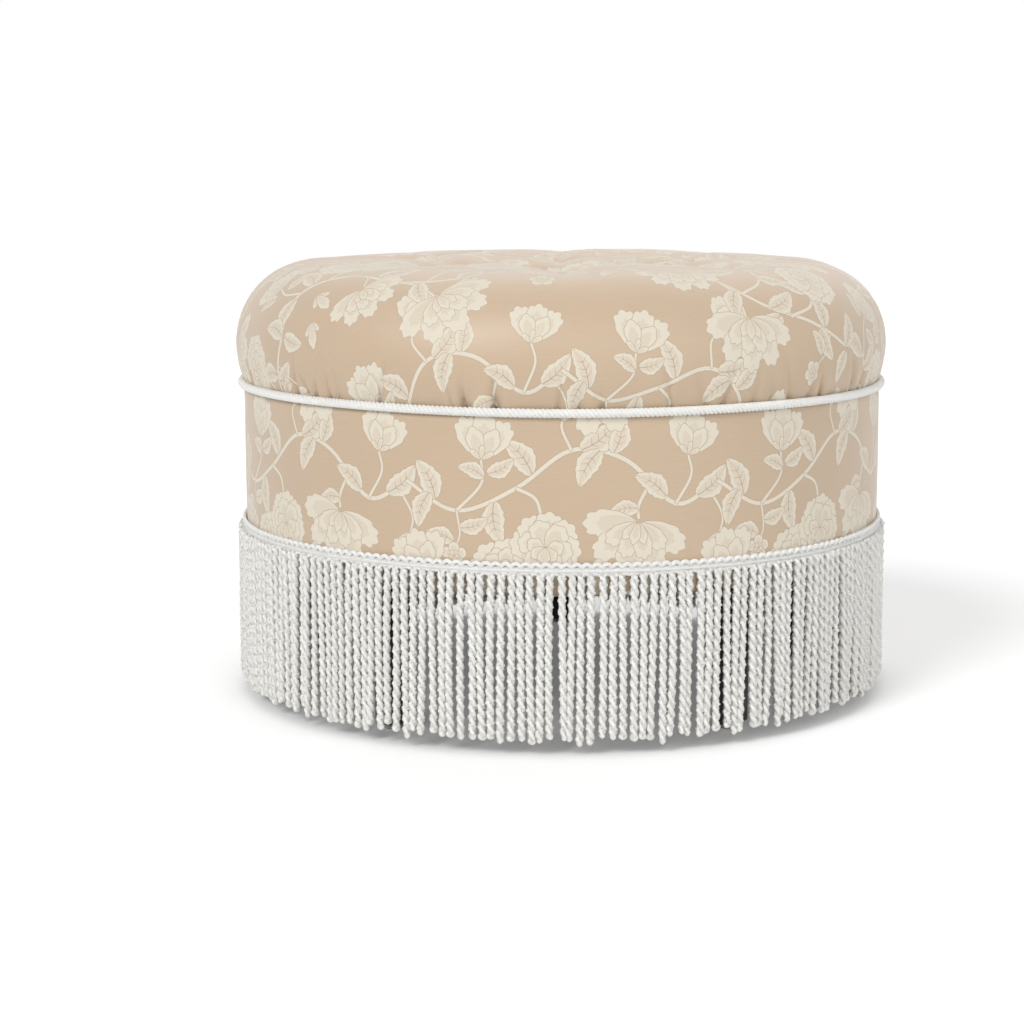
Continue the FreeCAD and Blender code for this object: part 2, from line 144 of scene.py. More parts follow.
class FootstoolColours(bpy.types.PropertyGroup):
    """Colours of the finishes, linear."""

    ground: bpy.props.FloatVectorProperty(
        name="Cloth ground",
        description="Satin ground of the cover",
        default=(0.545, 0.412, 0.284),
        subtype="COLOR",
    )
    flower: bpy.props.FloatVectorProperty(
        name="Flowers",
        description="Woven flowers and leaves",
        default=(0.700, 0.640, 0.530),
        subtype="COLOR",
    )
    outline: bpy.props.FloatVectorProperty(
        name="Flower lines",
        description="Thin lines round the woven petals",
        default=(0.43, 0.33, 0.235),
        subtype="COLOR",
    )
    fringe: bpy.props.FloatVectorProperty(
        name="Fringe cotton",
        description="Twisted cotton of the fringe",
        default=(0.95, 0.94, 0.90),
        subtype="COLOR",
    )
    trim: bpy.props.FloatVectorProperty(
        name="Trim cotton",
        description="Whiter cotton of the cord and the heading",
        default=(0.87, 0.865, 0.84),
        subtype="COLOR",
    )
    paint: bpy.props.FloatVectorProperty(
        name="Leg paint",
        description="Dark satin paint of the legs",
        default=(0.020, 0.024, 0.023),
        subtype="COLOR",
    )


def sizes():
    """The sizes that the panel shows."""
    return bpy.context.scene.footstool_sizes


def colours():
    """The colours that the panel shows."""
    return bpy.context.scene.footstool_colours


# Meshes and pieces.


def new_piece(name, points, faces, material):
    """A mesh object at the origin from points and faces, riding on the stool."""
    mesh = bpy.data.meshes.new(name)
    mesh.from_pydata([tuple(p) for p in points], [], [tuple(f) for f in faces])
    mesh.validate()
    piece = bpy.data.objects.new(name, mesh)
    bpy.context.scene.collection.objects.link(piece)
    mesh.materials.append(material)
    mesh.polygons.foreach_set("use_smooth", [True] * len(mesh.polygons))
    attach(piece, "root")
    return piece


def paint_uv(piece, coordinates, layer="cloth"):
    """Gives each vertex's place on its cloth or yarn as a UV map."""
    mesh = piece.data
    uv_map = mesh.uv_layers.new(name=layer)
    corners = np.empty(len(mesh.loops), np.int32)
    mesh.loops.foreach_get("vertex_index", corners)
    uv_map.data.foreach_set("uv", np.asarray(coordinates, np.float32)[corners].ravel())


def turned_shell(profile, columns):
    """Points and quads of a closed profile of (radius, height) turned about the stool's axis."""
    angle = np.arange(columns) * FULL_TURN / columns
    radius, height = np.array(profile).T
    x = radius[:, None] * np.cos(angle)
    y = radius[:, None] * np.sin(angle)
    z = np.repeat(height[:, None], columns, 1)
    points = np.stack([x, y, z], -1).reshape(-1, 3)
    return points, tube_faces(len(profile), columns, closed=True)


def tube_faces(rings, sides, start=0, closed=False):
    """Quads between consecutive rings of a tube whose ring k starts at vertex start + k * sides."""
    faces = []
    for ring in range(rings if closed else rings - 1):
        here = start + ring * sides
        there = start + (ring + 1) % rings * sides
        for side in range(sides):
            beside = (side + 1) % sides
            faces.append((here + side, here + beside, there + beside, there + side))
    if not closed:
        faces.append(tuple(start + side for side in reversed(range(sides))))
        faces.append(tuple(start + (rings - 1) * sides + side for side in range(sides)))
    return faces


def tube_rings(path, outward, radius, sides, closed=False):
    """Rings of points round a path; outward is a direction per point that leads the rings round."""
    if closed:
        along = np.roll(path, -1, 0) - np.roll(path, 1, 0)
    else:
        along = np.gradient(path, axis=0)
    along /= np.linalg.norm(along, axis=1, keepdims=True)
    normal = outward - along * (outward * along).sum(1, keepdims=True)
    normal /= np.linalg.norm(normal, axis=1, keepdims=True)
    across = np.cross(along, normal)
    turn = np.arange(sides) * FULL_TURN / sides
    round_it = normal[:, None] * np.cos(turn)[:, None] + across[:, None] * np.sin(turn)[:, None]
    return path[:, None] + round_it * np.broadcast_to(radius, len(path))[:, None, None]


def lengths_along(path):
    """The running length at each point of a path."""
    steps = np.linalg.norm(np.diff(path, axis=0), axis=1)
    return np.concatenate([[0], np.cumsum(steps)])


def about_axis(radius, angle, height):
    """Points at a radius, an angle and a height about the stool's axis."""
    return np.stack([radius * np.cos(angle), radius * np.sin(angle), height], 1)


def tube_uv(run, sides):
    """UV places of a tube's rings: the running length and the share of the way round."""
    return np.stack(np.broadcast_arrays(run[:, None], np.arange(sides) / sides), -1).reshape(-1, 2)


# The woven pattern: shapes drawn on flat cloth, each later one lying over the earlier ones.

GROUND, PETAL, SHADED_PETAL, LINE = 0.0, 1.0, 2.0, 3.0
LINE_WIDTH = 0.0005
MOTIF_GROWTH = 1.14
INNER_SHARE = 0.78
INNER_POINTS = 18
LEAF_WIDTH = 0.56
LEAF_TEETH = 5
VEIN_FEET = (0.25, 0.42, 0.60)


def placed(shape, x, y, angle, size):
    """A drawn outline scaled, turned anticlockwise by an angle in degrees and moved."""
    turn = math.radians(angle)
    across = np.array([math.cos(turn), math.sin(turn)])
    up = np.array([-math.sin(turn), math.cos(turn)])
    return np.array([x, y]) + size * (shape[:, :1] * across + shape[:, 1:] * up)


def widened(outline, width):
    """An anticlockwise outline with every point moved outwards."""
    along = np.roll(outline, -1, 0) - np.roll(outline, 1, 0)
    along /= np.linalg.norm(along, axis=1, keepdims=True) + 1e-12
    return outline + width * np.stack([along[:, 1], -along[:, 0]], 1)


def petal_outline(width, lobes, points=34):
    """A petal of length 1 up from the origin, narrow at its foot and scalloped round its free end."""
    turn = np.linspace(0, FULL_TURN, points, endpoint=False)
    free_end = np.clip(0.5 + 0.75 * np.cos(turn), 0, 1)
    scallop = 1 + 0.19 * free_end * (np.abs(np.cos(lobes * turn / 2)) - 0.6)
    narrow = 0.30 + 0.70 * np.sqrt(np.clip(0.5 + 0.5 * np.cos(turn), 0, 1))
    x = -0.5 * width * np.sin(turn) * scallop * narrow
    y = 0.52 + 0.48 * np.cos(turn) * scallop
    return np.stack([x, y], 1)


def leaf_half(width, teeth, side, points=13):
    """Half a toothed leaf of length 1 up from the origin, on one side of its rib."""
    run = np.linspace(0.02, 1, points)
    saw = 1 - 0.20 * (run * teeth % 1)
    edge = 0.5 * width * np.sin(math.pi * run**0.75) ** 0.8 * saw
    edge[-1] = 0
    bow = 0.10 * np.sin(math.pi * run)
    rib = np.stack([bow + side * 0.012, run], 1)
    rim = np.stack([bow + side * (0.012 + edge), run], 1)
    if side > 0:
        return np.concatenate([rib[:1], rim, rib[-2:0:-3]])
    return np.concatenate([rib[:1], rib[2:-1:3], rim[::-1]])


def ribbon(points, width_start, width_end, steps=7):
    """A stem: a band of changing width along a smooth line through the points."""
    points = np.array(points, float)
    ends = [2 * points[0] - points[1], *points, 2 * points[-1] - points[-2]]
    line = []
    for before, start, end, after in zip(ends, ends[1:], ends[2:], ends[3:]):
        for t in np.linspace(0, 1, steps, endpoint=False):
            bend = 2 * start + (end - before) * t
            bend = bend + (2 * before - 5 * start + 4 * end - after) * t**2
            line.append(0.5 * (bend + (3 * start - before - 3 * end + after) * t**3))
    line = np.array([*line, points[-1]])
    along = np.gradient(line, axis=0)
    along /= np.linalg.norm(along, axis=1, keepdims=True)
    aside = np.stack([along[:, 1], -along[:, 0]], 1)
    half = np.linspace(width_start, width_end, len(line))[:, None] / 2
    return np.concatenate([line + aside * half, (line - aside * half)[::-1]])


def add_shape(drawing, outline):
    """Lays a pale shape over the drawing, with its thin line under it."""
    drawing.append((widened(outline, LINE_WIDTH), LINE))
    drawing.append((outline, PETAL))


def draw_petals(drawing, x, y, angle, size, count, spread, width, lobes):
    """A fan or ring of petals round a point; spread is the angle that they cover."""
    step = spread / count if spread == 360 else spread / max(count - 1, 1)
    first = 0 if spread == 360 else -spread / 2
    for k in sorted(range(count), key=lambda k: -abs(first + k * step)):
        turn = angle + first + k * step
        add_shape(drawing, placed(petal_outline(width, lobes), x, y, turn, size))
        inner = petal_outline(width * INNER_SHARE, lobes, INNER_POINTS)
        drawing.append((placed(inner, x, y, turn, size * INNER_SHARE), SHADED_PETAL))


# Each flower's fans of petals, from back to front: turn in degrees, rise and length as shares of its
# size, count, spread in degrees, and a petal's width and lobes.

PEONY = (
    (0, 0, 0.52, 8, 360, 0.95, 9), (24, 0, 0.40, 6, 360, 0.95, 7),
    (0, 0.10, 0.30, 5, 250, 0.85, 5), (0, 0, 0.24, 3, 90, 0.9, 5),
)
TULIP = ((0, 0, 1, 3, 64, 0.66, 9), (0, 0, 0.72, 2, 46, 0.62, 5), (0, 0, 0.30, 3, 110, 0.45, 1))
CARNATION = ((0, 0, 1, 5, 150, 0.60, 10), (8, 0, 0.68, 4, 105, 0.60, 9), (0, 0, 0.40, 3, 60, 0.55, 5))
BUD = ((0, 0, 0.55, 2, 76, 0.40, 1), (0, 0, 1, 1, 0, 0.48, 5))
ROSETTE = ((0, 0, 0.5, 5, 360, 0.98, 1), (36, 0, 0.20, 5, 360, 0.95, 1))


def draw_flower(drawing, fans, x, y, angle, size):
    """A flower made of fans of petals."""
    for turn, rise, share, count, spread, width, lobes in fans:
        foot_x = x - rise * size * math.sin(math.radians(angle))
        foot_y = y + rise * size * math.cos(math.radians(angle))
        draw_petals(drawing, foot_x, foot_y, angle + turn, size * share, count, spread, width, lobes)


def leaf_vein(width, side, foot):
    """A thin vein of a leaf of length 1, from its rib towards its rim."""
    rib = 0.10 * math.sin(math.pi * foot)
    tip = rib + side * 0.36 * width * math.sin(math.pi * foot**0.75) ** 0.8
    return np.array([(rib, foot - 0.012), (tip, foot + 0.13), (rib, foot + 0.012)])[::side]


def draw_leaf(drawing, x, y, angle, size):
    """A toothed leaf in two halves beside its rib, with its veins."""
    for side in (-1, 1):
        add_shape(drawing, placed(leaf_half(LEAF_WIDTH, LEAF_TEETH, side), x, y, angle, size))
    for side in (-1, 1):
        inner = leaf_half(LEAF_WIDTH * INNER_SHARE * 0.8, LEAF_TEETH, side)
        drawing.append((placed(inner, x, y, angle, size * 0.94), SHADED_PETAL))
    for side in (-1, 1):
        for foot in VEIN_FEET:
            drawing.append((placed(leaf_vein(LEAF_WIDTH, side, foot), x, y, angle, size), LINE))


# One repeat of the pattern, as shares of its width and height: stems, then what grows on them.

STEMS = (
    (0.014, 0.012, (0.00, 0.30), (0.14, 0.40), (0.32, 0.36), (0.48, 0.22), (0.66, 0.18), (0.84, 0.24),
     (1.00, 0.30)),
    (0.012, 0.014, (0.00, 0.80), (0.17, 0.72), (0.36, 0.79), (0.53, 0.90), (0.70, 0.87), (0.86, 0.74),
     (1.00, 0.80)),
    (0.011, 0.007, (0.14, 0.40), (0.08, 0.46), (0.06, 0.53)),
    (0.011, 0.009, (0.24, 0.39), (0.30, 0.43), (0.31, 0.47)),
    (0.011, 0.009, (0.48, 0.22), (0.55, 0.17), (0.60, 0.10)),
    (0.011, 0.007, (0.58, 0.19), (0.63, 0.28), (0.60, 0.37)),
    (0.011, 0.009, (0.76, 0.20), (0.82, 0.29), (0.81, 0.36)),
    (0.007, 0.005, (0.93, 0.27), (0.95, 0.20), (0.94, 0.15)),
    (0.010, 0.007, (0.17, 0.72), (0.25, 0.80), (0.25, 0.87)),
    (0.011, 0.009, (0.36, 0.79), (0.42, 0.76), (0.44, 0.70)),
    (0.011, 0.009, (0.78, 0.81), (0.74, 0.74), (0.74, 0.70)),
    (0.010, 0.007, (0.86, 0.74), (0.91, 0.82), (0.90, 0.88)),
    (0.007, 0.005, (0.17, 0.72), (0.18, 0.65), (0.16, 0.61)),
    (0.009, 0.006, (0.32, 0.36), (0.38, 0.31), (0.37, 0.25)),
    (0.009, 0.006, (0.53, 0.90), (0.50, 0.97), (0.53, 1.02)),
    (0.009, 0.006, (0.97, 0.78), (1.02, 0.70), (1.01, 0.64)),
    (0.009, 0.006, (0.60, 0.37), (0.57, 0.44), (0.61, 0.49)),
)
PEONIES = ((0.32, 0.53, -8, 0.205), (0.80, 0.43, 12, 0.190), (0.45, 0.62, 172, 0.185))
CARNATIONS = ((0.61, 0.10, 205, 0.150), (0.74, 0.69, 165, 0.150), (0.36, 0.24, 190, 0.120))
TULIPS = (
    (0.06, 0.53, 14, 0.125), (0.25, 0.87, -6, 0.125), (0.90, 0.88, -14, 0.115), (0.53, 1.01, -20, 0.120),
)
BUDS = (
    (0.60, 0.49, -12, 0.100), (0.20, 0.33, 200, 0.085), (1.01, 0.65, 170, 0.095), (0.66, 0.97, 8, 0.085),
    (0.16, 0.24, 160, 0.080), (0.50, 0.40, 30, 0.080),
)
ROSETTES = ((0.94, 0.12, 0, 0.070), (0.16, 0.59, 0, 0.070))
LEAVES = (
    (0.12, 0.39, 120, 0.120), (0.19, 0.41, 18, 0.125), (0.42, 0.28, -62, 0.135), (0.47, 0.23, 118, 0.120),
    (0.55, 0.19, 190, 0.110), (0.68, 0.18, -25, 0.120), (0.72, 0.18, 175, 0.125), (0.90, 0.27, 48, 0.110),
    (0.88, 0.25, -105, 0.105), (0.10, 0.75, 28, 0.120), (0.08, 0.77, 160, 0.105), (0.29, 0.75, 190, 0.120),
    (0.41, 0.83, 40, 0.120), (0.56, 0.90, -50, 0.125), (0.62, 0.90, 150, 0.115), (0.66, 0.89, -12, 0.105),
    (0.83, 0.76, 55, 0.110), (0.93, 0.76, -48, 0.120), (0.04, 0.49, 62, 0.085), (0.09, 0.48, -48, 0.085),
    (0.62, 0.31, -70, 0.095), (0.26, 0.82, 70, 0.080), (0.27, 0.83, -60, 0.085), (0.79, 0.33, 100, 0.090),
    (0.60, 0.40, 60, 0.095), (0.58, 0.44, -75, 0.090), (0.16, 0.63, 75, 0.085), (0.18, 0.67, -70, 0.085),
    (0.94, 0.19, 70, 0.080), (0.02, 0.31, 25, 0.110), (0.03, 0.30, -150, 0.100), (0.74, 0.73, 100, 0.085),
)


def drawn_repeat(width, height):
    """The shapes of one repeat, from back to front."""
    drawing = []
    for stem in STEMS:
        line = [(x * width, y * height) for x, y in stem[2:]]
        add_shape(drawing, ribbon(line, stem[0] * width, stem[1] * width))
    for x, y, angle, size in LEAVES:
        draw_leaf(drawing, x * width, y * height, angle, size * width * MOTIF_GROWTH)
    flowers = (
        (BUD, BUDS), (ROSETTE, ROSETTES), (TULIP, TULIPS), (CARNATION, CARNATIONS), (PEONY, PEONIES),
    )
    for fans, places in flowers:
        for x, y, angle, size in places:
            draw_flower(drawing, fans, x * width, y * height, angle, size * width * MOTIF_GROWTH)
    return drawing


def cut_cloth(low, high, spacing, inside, border, finer):
    """Triangulates flat cloth so that each drawn shape is whole triangles.

    inside tells whether points belong to the cloth, border is its outline and finer holds more points.
    Returns the points, the triangles and the tone of each triangle.
    """
    width = FULL_TURN * radius_of("side_cover") / sizes().repeats
    height = sizes().repeat_height
    drawing = drawn_repeat(width, height)
    points = [*border]
    loops = []
    tones = []
    border_edges = [(k, (k + 1) % len(border)) for k in range(len(border))]
    for column in range(math.floor(low[0] / width) - 1, math.ceil(high[0] / width) + 1):
        for row in range(math.floor(low[1] / height) - 1, math.ceil(high[1] / height) + 1):
            for outline, tone in drawing:
                shape = outline + np.array([column * width, row * height])
                if (shape.max(0) < low).any() or (shape.min(0) > high).any():
                    continue
                if not inside(shape).any():
                    continue
                loops.append(list(range(len(points), len(points) + len(shape))))
                points.extend(shape)
                tones.append(tone)
    rows = np.arange(low[1], high[1], spacing * math.sqrt(3) / 2)
    for number, y in enumerate(rows):
        x = np.arange(low[0] + (number % 2) * spacing / 2, high[0], spacing)
        line = np.stack([x, np.full(len(x), y)], 1)
        points.extend(line[inside(line, spacing * 0.4)])
    points.extend(finer)
    flat = [Vector((float(x), float(y))) for x, y in points]
    made = geometry.delaunay_2d_cdt(flat, border_edges, loops, 0, 1e-7)
    found = np.array([tuple(p) for p in made[0]])
    triangles = np.array([f for f in made[2]])
    owners = made[5]
    kept = inside(found[triangles].mean(1))
    tone_of = np.array([tones[max(o)] if o else GROUND for o in owners])
    return found, triangles[kept], tone_of[kept]


def cloth_piece(name, cloth, places, material):
    """A piece of patterned cloth, with its flat places as UV map and its tones as a face attribute."""
    flat, triangles, tones = cloth
    used, index = np.unique(triangles, return_inverse=True)
    triangles = index.reshape(-1, 3)
    piece = new_piece(name, places[used], triangles, material)
    paint_uv(piece, flat[used])
    figure = piece.data.attributes.new("figure", "FLOAT", "FACE")
    figure.data.foreach_set("value", tones.astype(np.float32))
    return piece


# Materials.


class Nodes:
    """A node tree that is being built."""

    def __init__(self, tree):
        self.tree = tree

    def add(self, kind, inputs=(), **settings):
        """Adds a node, sets it and joins or fills its inputs."""
        node = self.tree.nodes.new(kind)
        for name, value in settings.items():
            setattr(node, name, value)
        for key, value in dict(inputs).items():
            if isinstance(value, bpy.types.NodeSocket):
                self.tree.links.new(value, node.inputs[key])
            else:
                node.inputs[key].default_value = value
        return node

    def math(self, operation, first, second=0.0, third=0.0):
        """A value worked out from up to three others."""
        node = self.add("ShaderNodeMath", {0: first, 1: second, 2: third}, operation=operation)
        return node.outputs[0]

    def mix(self, factor, first, second):
        """A colour between two others."""
        inputs = {"Factor": factor, 6: first, 7: second}
        return self.add("ShaderNodeMix", inputs, data_type="RGBA").outputs[2]

    def step(self, value, low, high, out_low=0.0, out_high=1.0):
        """The value's range low to high spread over another range, and held at its ends."""
        inputs = {0: value, 1: low, 2: high, 3: out_low, 4: out_high}
        return self.add("ShaderNodeMapRange", inputs).outputs[0]

    def noise(self, vector, scale, detail=2.0, roughness=0.5):
        """The value of a soft noise pattern."""
        inputs = {"Vector": vector, "Scale": scale, "Detail": detail, "Roughness": roughness}
        return self.add("ShaderNodeTexNoise", inputs).outputs[0]

    def group(self, tree, inputs):
        """The outputs of a shared effect group placed here."""
        return self.add("ShaderNodeGroup", inputs, node_tree=tree).outputs


def opaque(colour):
    """A colour with full alpha."""
    return (*colour, 1.0)


def dimmed(colour, share):
    """A darker share of a colour."""
    return opaque([channel * share for channel in colour])


def between(first, second, share):
    """A colour part of the way from one to another."""
    return opaque([a + (b - a) * share for a, b in zip(first, second)])


def effect_group(name, inputs, outputs):
    """An empty shader node group with named sockets."""
    tree = bpy.data.node_groups.new(name, "ShaderNodeTree")
    for socket, kind, default in inputs:
        made = tree.interface.new_socket(socket, in_out="INPUT", socket_type=kind)
        if default is not None:
            made.default_value = default
    for socket, kind in outputs:
        tree.interface.new_socket(socket, in_out="OUTPUT", socket_type=kind)
    nodes = Nodes(tree)
    return nodes, nodes.add("NodeGroupInput").outputs, nodes.add("NodeGroupOutput")


def join(nodes, outputs, **values):
    """Joins values to a group's outputs, named in lower case."""
    for name, value in values.items():
        nodes.tree.links.new(value, outputs.inputs[name.replace("_", " ").capitalize()])


def weave_group():
    """Warp and weft threads: their height and which of them lies on top."""
    inputs = [("Place", "NodeSocketVector", None), ("Threads per metre", "NodeSocketFloat", 1400.0)]
    outputs = [("Height", "NodeSocketFloat"), ("Over", "NodeSocketFloat")]
    nodes, given, out = effect_group("Woven threads", inputs, outputs)
    parts = nodes.add("ShaderNodeSeparateXYZ", {0: given["Place"]}).outputs
    turn = nodes.math("MULTIPLY", given["Threads per metre"], FULL_TURN / 2)
    warp = nodes.math("SINE", nodes.math("MULTIPLY", parts["X"], turn))
    weft = nodes.math("SINE", nodes.math("MULTIPLY", parts["Y"], turn))
    over = nodes.step(nodes.math("MULTIPLY", warp, weft), -0.25, 0.25)
    warp_height = nodes.math("ABSOLUTE", warp)
    weft_height = nodes.math("ABSOLUTE", weft)
    height = nodes.add("ShaderNodeMix", {"Factor": over, 2: warp_height, 3: weft_height}).outputs[0]
    join(nodes, out, height=height, over=over)
    return nodes.tree


def mottle_group():
    """Uneven depth of colour: broad soft patches and fine grain together."""
    inputs = [
        ("Place", "NodeSocketVector", None),
        ("Patches", "NodeSocketFloat", 12.0),
        ("Grain", "NodeSocketFloat", 900.0),
        ("Grain share", "NodeSocketFloat", 0.5),
    ]
    nodes, given, out = effect_group("Uneven depth", inputs, [("Depth", "NodeSocketFloat")])
    broad = nodes.noise(given["Place"], given["Patches"], 3.0)
    fine = nodes.noise(given["Place"], given["Grain"], 2.0, 0.6)
    depth = nodes.add("ShaderNodeMix", {"Factor": given["Grain share"], 2: broad, 3: fine}).outputs[0]
    join(nodes, out, depth=depth)
    return nodes.tree


def fibre_group():
    """Spun fibres that wind round a yarn: their height and the painted shade in the grooves between them."""
    inputs = [
        ("Place", "NodeSocketVector", None),
        ("Fibres", "NodeSocketFloat", 7.0),
        ("Slant per metre", "NodeSocketFloat", 300.0),
    ]
    outputs = [("Height", "NodeSocketFloat"), ("Lines", "NodeSocketFloat")]
    nodes, given, out = effect_group("Spun fibres", inputs, outputs)
    parts = nodes.add("ShaderNodeSeparateXYZ", {0: given["Place"]}).outputs
    round_it = nodes.math("MULTIPLY", parts["Y"], given["Fibres"])
    along = nodes.math("MULTIPLY", parts["X"], given["Slant per metre"])
    wander = nodes.math("MULTIPLY", nodes.noise(given["Place"], 90.0), 1.2)
    turns = nodes.math("ADD", nodes.math("ADD", round_it, along), wander)
    height = nodes.math("ABSOLUTE", nodes.math("SINE", nodes.math("MULTIPLY", turns, FULL_TURN / 2)))
    # Painted shade: where the fibre height is low, in the grooves between fibres, the lines output is high.
    lines = nodes.step(height, 0.0, 0.45, 1.0, 0.0)
    join(nodes, out, height=height, lines=lines)
    return nodes.tree


def timber_group():
    """Long grain of timber: growth lines and pores."""
    inputs = [
        ("Place", "NodeSocketVector", None),
        ("Lines per metre", "NodeSocketFloat", 90.0),
        ("Waviness", "NodeSocketFloat", 2.0),
    ]
    outputs = [("Grain", "NodeSocketFloat"), ("Pores", "NodeSocketFloat")]
    nodes, given, out = effect_group("Timber grain", inputs, outputs)
    wave_inputs = {
        "Vector": given["Place"],
        "Scale": given["Lines per metre"],
        "Distortion": given["Waviness"],
        "Detail": 3.0,
        "Detail Scale": 1.5,
    }
    grain = nodes.add("ShaderNodeTexWave", wave_inputs, bands_direction="X").outputs["Fac"]
    drawn_out = nodes.add("ShaderNodeMapping", {"Vector": given["Place"], "Scale": (1.0, 0.08, 1.0)})
    pores = nodes.step(nodes.noise(drawn_out.outputs[0], 1800.0, 1.0), 0.60, 0.72)
    join(nodes, out, grain=grain, pores=pores)
    return nodes.tree


def wear_group():
    """Rubbed edges and specks of dust low down on a hard piece."""
    inputs = [("Place", "NodeSocketVector", None), ("Top of wear", "NodeSocketFloat", 0.03)]
    nodes, given, out = effect_group("Foot wear", inputs, [("Wear", "NodeSocketFloat")])
    height = nodes.add("ShaderNodeSeparateXYZ", {0: given["Place"]}).outputs["Z"]
    low = nodes.add("ShaderNodeMapRange", {0: height, 1: 0.004, 2: given["Top of wear"], 3: 1.0, 4: 0.0})
    rubbed = nodes.step(nodes.noise(given["Place"], 240.0, 5.0, 0.7), 0.52, 0.70)
    join(nodes, out, wear=nodes.math("MULTIPLY", low.outputs[0], rubbed))
    return nodes.tree


def new_material(name):
    """An empty material, its nodes and its Principled shader."""
    material = bpy.data.materials.new(name)
    material.use_nodes = True
    material.node_tree.nodes.clear()
    nodes = Nodes(material.node_tree)
    shader = nodes.add("ShaderNodeBsdfPrincipled")
    output = nodes.add("ShaderNodeOutputMaterial", {"Surface": shader.outputs[0]})
    output.target = "ALL"
    return material, nodes, shader


def fill(nodes, shader, **values):
    """Joins or sets the shader's sockets, named in lower case."""
    for name, value in values.items():
        socket = shader.inputs[name.replace("_", " ").title().replace("Ior", "IOR")]
        if isinstance(value, bpy.types.NodeSocket):
            nodes.tree.links.new(value, socket)
        else:
            socket.default_value = value


def bumped(nodes, height, distance, strength=1.0):
    """The normal that a pattern of heights gives."""
    inputs = {"Height": height, "Distance": distance, "Strength": strength}
    return nodes.add("ShaderNodeBump", inputs).outputs[0]


def object_place(nodes):
    """Places on the piece, in metres."""
    return nodes.add("ShaderNodeTexCoord").outputs["Object"]


def cloth_place(nodes):
    """Places on the flat cloth, in metres."""
    return nodes.add("ShaderNodeUVMap", uv_map="cloth").outputs[0]


def uneven(nodes, mottle, place, patches, grain, share):
    """The uneven depth of a finish at places on the piece."""
    inputs = {"Place": place, "Patches": patches, "Grain": grain, "Grain share": share}
    return nodes.group(mottle, inputs)["Depth"]


def floral_satin(weave, mottle):
    """Satin with a woven flower pattern: a lustrous ground and duller, speckled flowers."""
    hues = colours()
    material, nodes, shader = new_material("floral_satin")
    place = cloth_place(nodes)
    figure = nodes.add("ShaderNodeAttribute", attribute_name="figure").outputs["Fac"]
    flower = nodes.math("COMPARE", figure, 1.5, 0.9)
    shaded = nodes.math("COMPARE", figure, SHADED_PETAL, 0.2)
    line = nodes.math("COMPARE", figure, LINE, 0.2)
    threads = nodes.group(weave, {"Place": place, "Threads per metre": 1500.0})
    depth = uneven(nodes, mottle, place, 9.0, 750.0, 0.35)
    speckle = nodes.noise(place, 1150.0, 2.0, 0.7)
    slubs = nodes.add("ShaderNodeMapping", {"Vector": place, "Scale": (40.0, 1500.0, 1.0)}).outputs[0]
    slub = nodes.noise(slubs, 1.0, 2.0, 0.6)
    ground = nodes.mix(nodes.step(slub, 0.30, 0.75), opaque(hues.ground), dimmed(hues.ground, 0.90))
    patches = nodes.step(depth, 0.35, 0.7, 0.0, 0.5)
    ground = nodes.mix(patches, ground, dimmed(hues.ground, 0.88))
    dots = nodes.step(speckle, 0.52, 0.66, 0.0, 0.45)
    petal = nodes.mix(dots, opaque(hues.flower), between(hues.flower, hues.ground, 0.35))
    more_dots = nodes.step(speckle, 0.38, 0.60, 0.10, 0.75)
    dark_petal = nodes.mix(more_dots, opaque(hues.flower), between(hues.flower, hues.ground, 0.62))
    colour = nodes.mix(flower, ground, petal)
    colour = nodes.mix(shaded, colour, dark_petal)
    colour = nodes.mix(line, colour, opaque(hues.outline))
    fine = nodes.math("MULTIPLY", threads["Height"], nodes.step(flower, 0, 1, 0.25, 0.9))
    relief = nodes.math("ADD", fine, nodes.math("MULTIPLY", flower, 1.6))
    relief = nodes.math("ADD", relief, nodes.math("MULTIPLY", speckle, nodes.step(flower, 0, 1, 0.3, 1.6)))
    rough = nodes.step(nodes.math("ADD", flower, nodes.math("MULTIPLY", slub, 0.3)), 0.0, 1.3, 0.36, 0.86)
    fill(nodes, shader, base_color=colour, roughness=rough, normal=bumped(nodes, relief, 0.00012, 0.8))
    fill(nodes, shader, sheen_weight=0.25, sheen_roughness=0.45, specular_ior_level=0.55)
    return material


# How far the painted shade in the grooves between fibres darkens the yarn's colour.
YARN_SHADOW = (0.88, 0.875, 0.86)


def spun_cotton(name, colour, fibre, mottle, slant):
    """Soft twisted cotton yarn with its fibres showing."""
    material, nodes, shader = new_material(name)
    place = nodes.add("ShaderNodeUVMap", uv_map="yarn").outputs[0]
    fibres = nodes.group(fibre, {"Place": place, "Fibres": 6.0, "Slant per metre": slant})
    here = object_place(nodes)
    depth = uneven(nodes, mottle, here, 25.0, 1400.0, 0.6)
    # Painted shade: the grooves between the fibres are darkened, by an amount that varies in patches.
    shade = nodes.math("MULTIPLY", fibres["Lines"], nodes.step(depth, 0.3, 0.7, 0.25, 0.75))
    tone = nodes.mix(shade, opaque(colour), opaque([c * k for c, k in zip(colour, YARN_SHADOW)]))
    relief = nodes.math("ADD", fibres["Height"], nodes.math("MULTIPLY", depth, 1.1))
    fill(nodes, shader, base_color=tone, roughness=0.92, normal=bumped(nodes, relief, 0.00022, 0.8))
    fill(nodes, shader, sheen_weight=0.20, sheen_roughness=0.6, specular_ior_level=0.25)
    return material


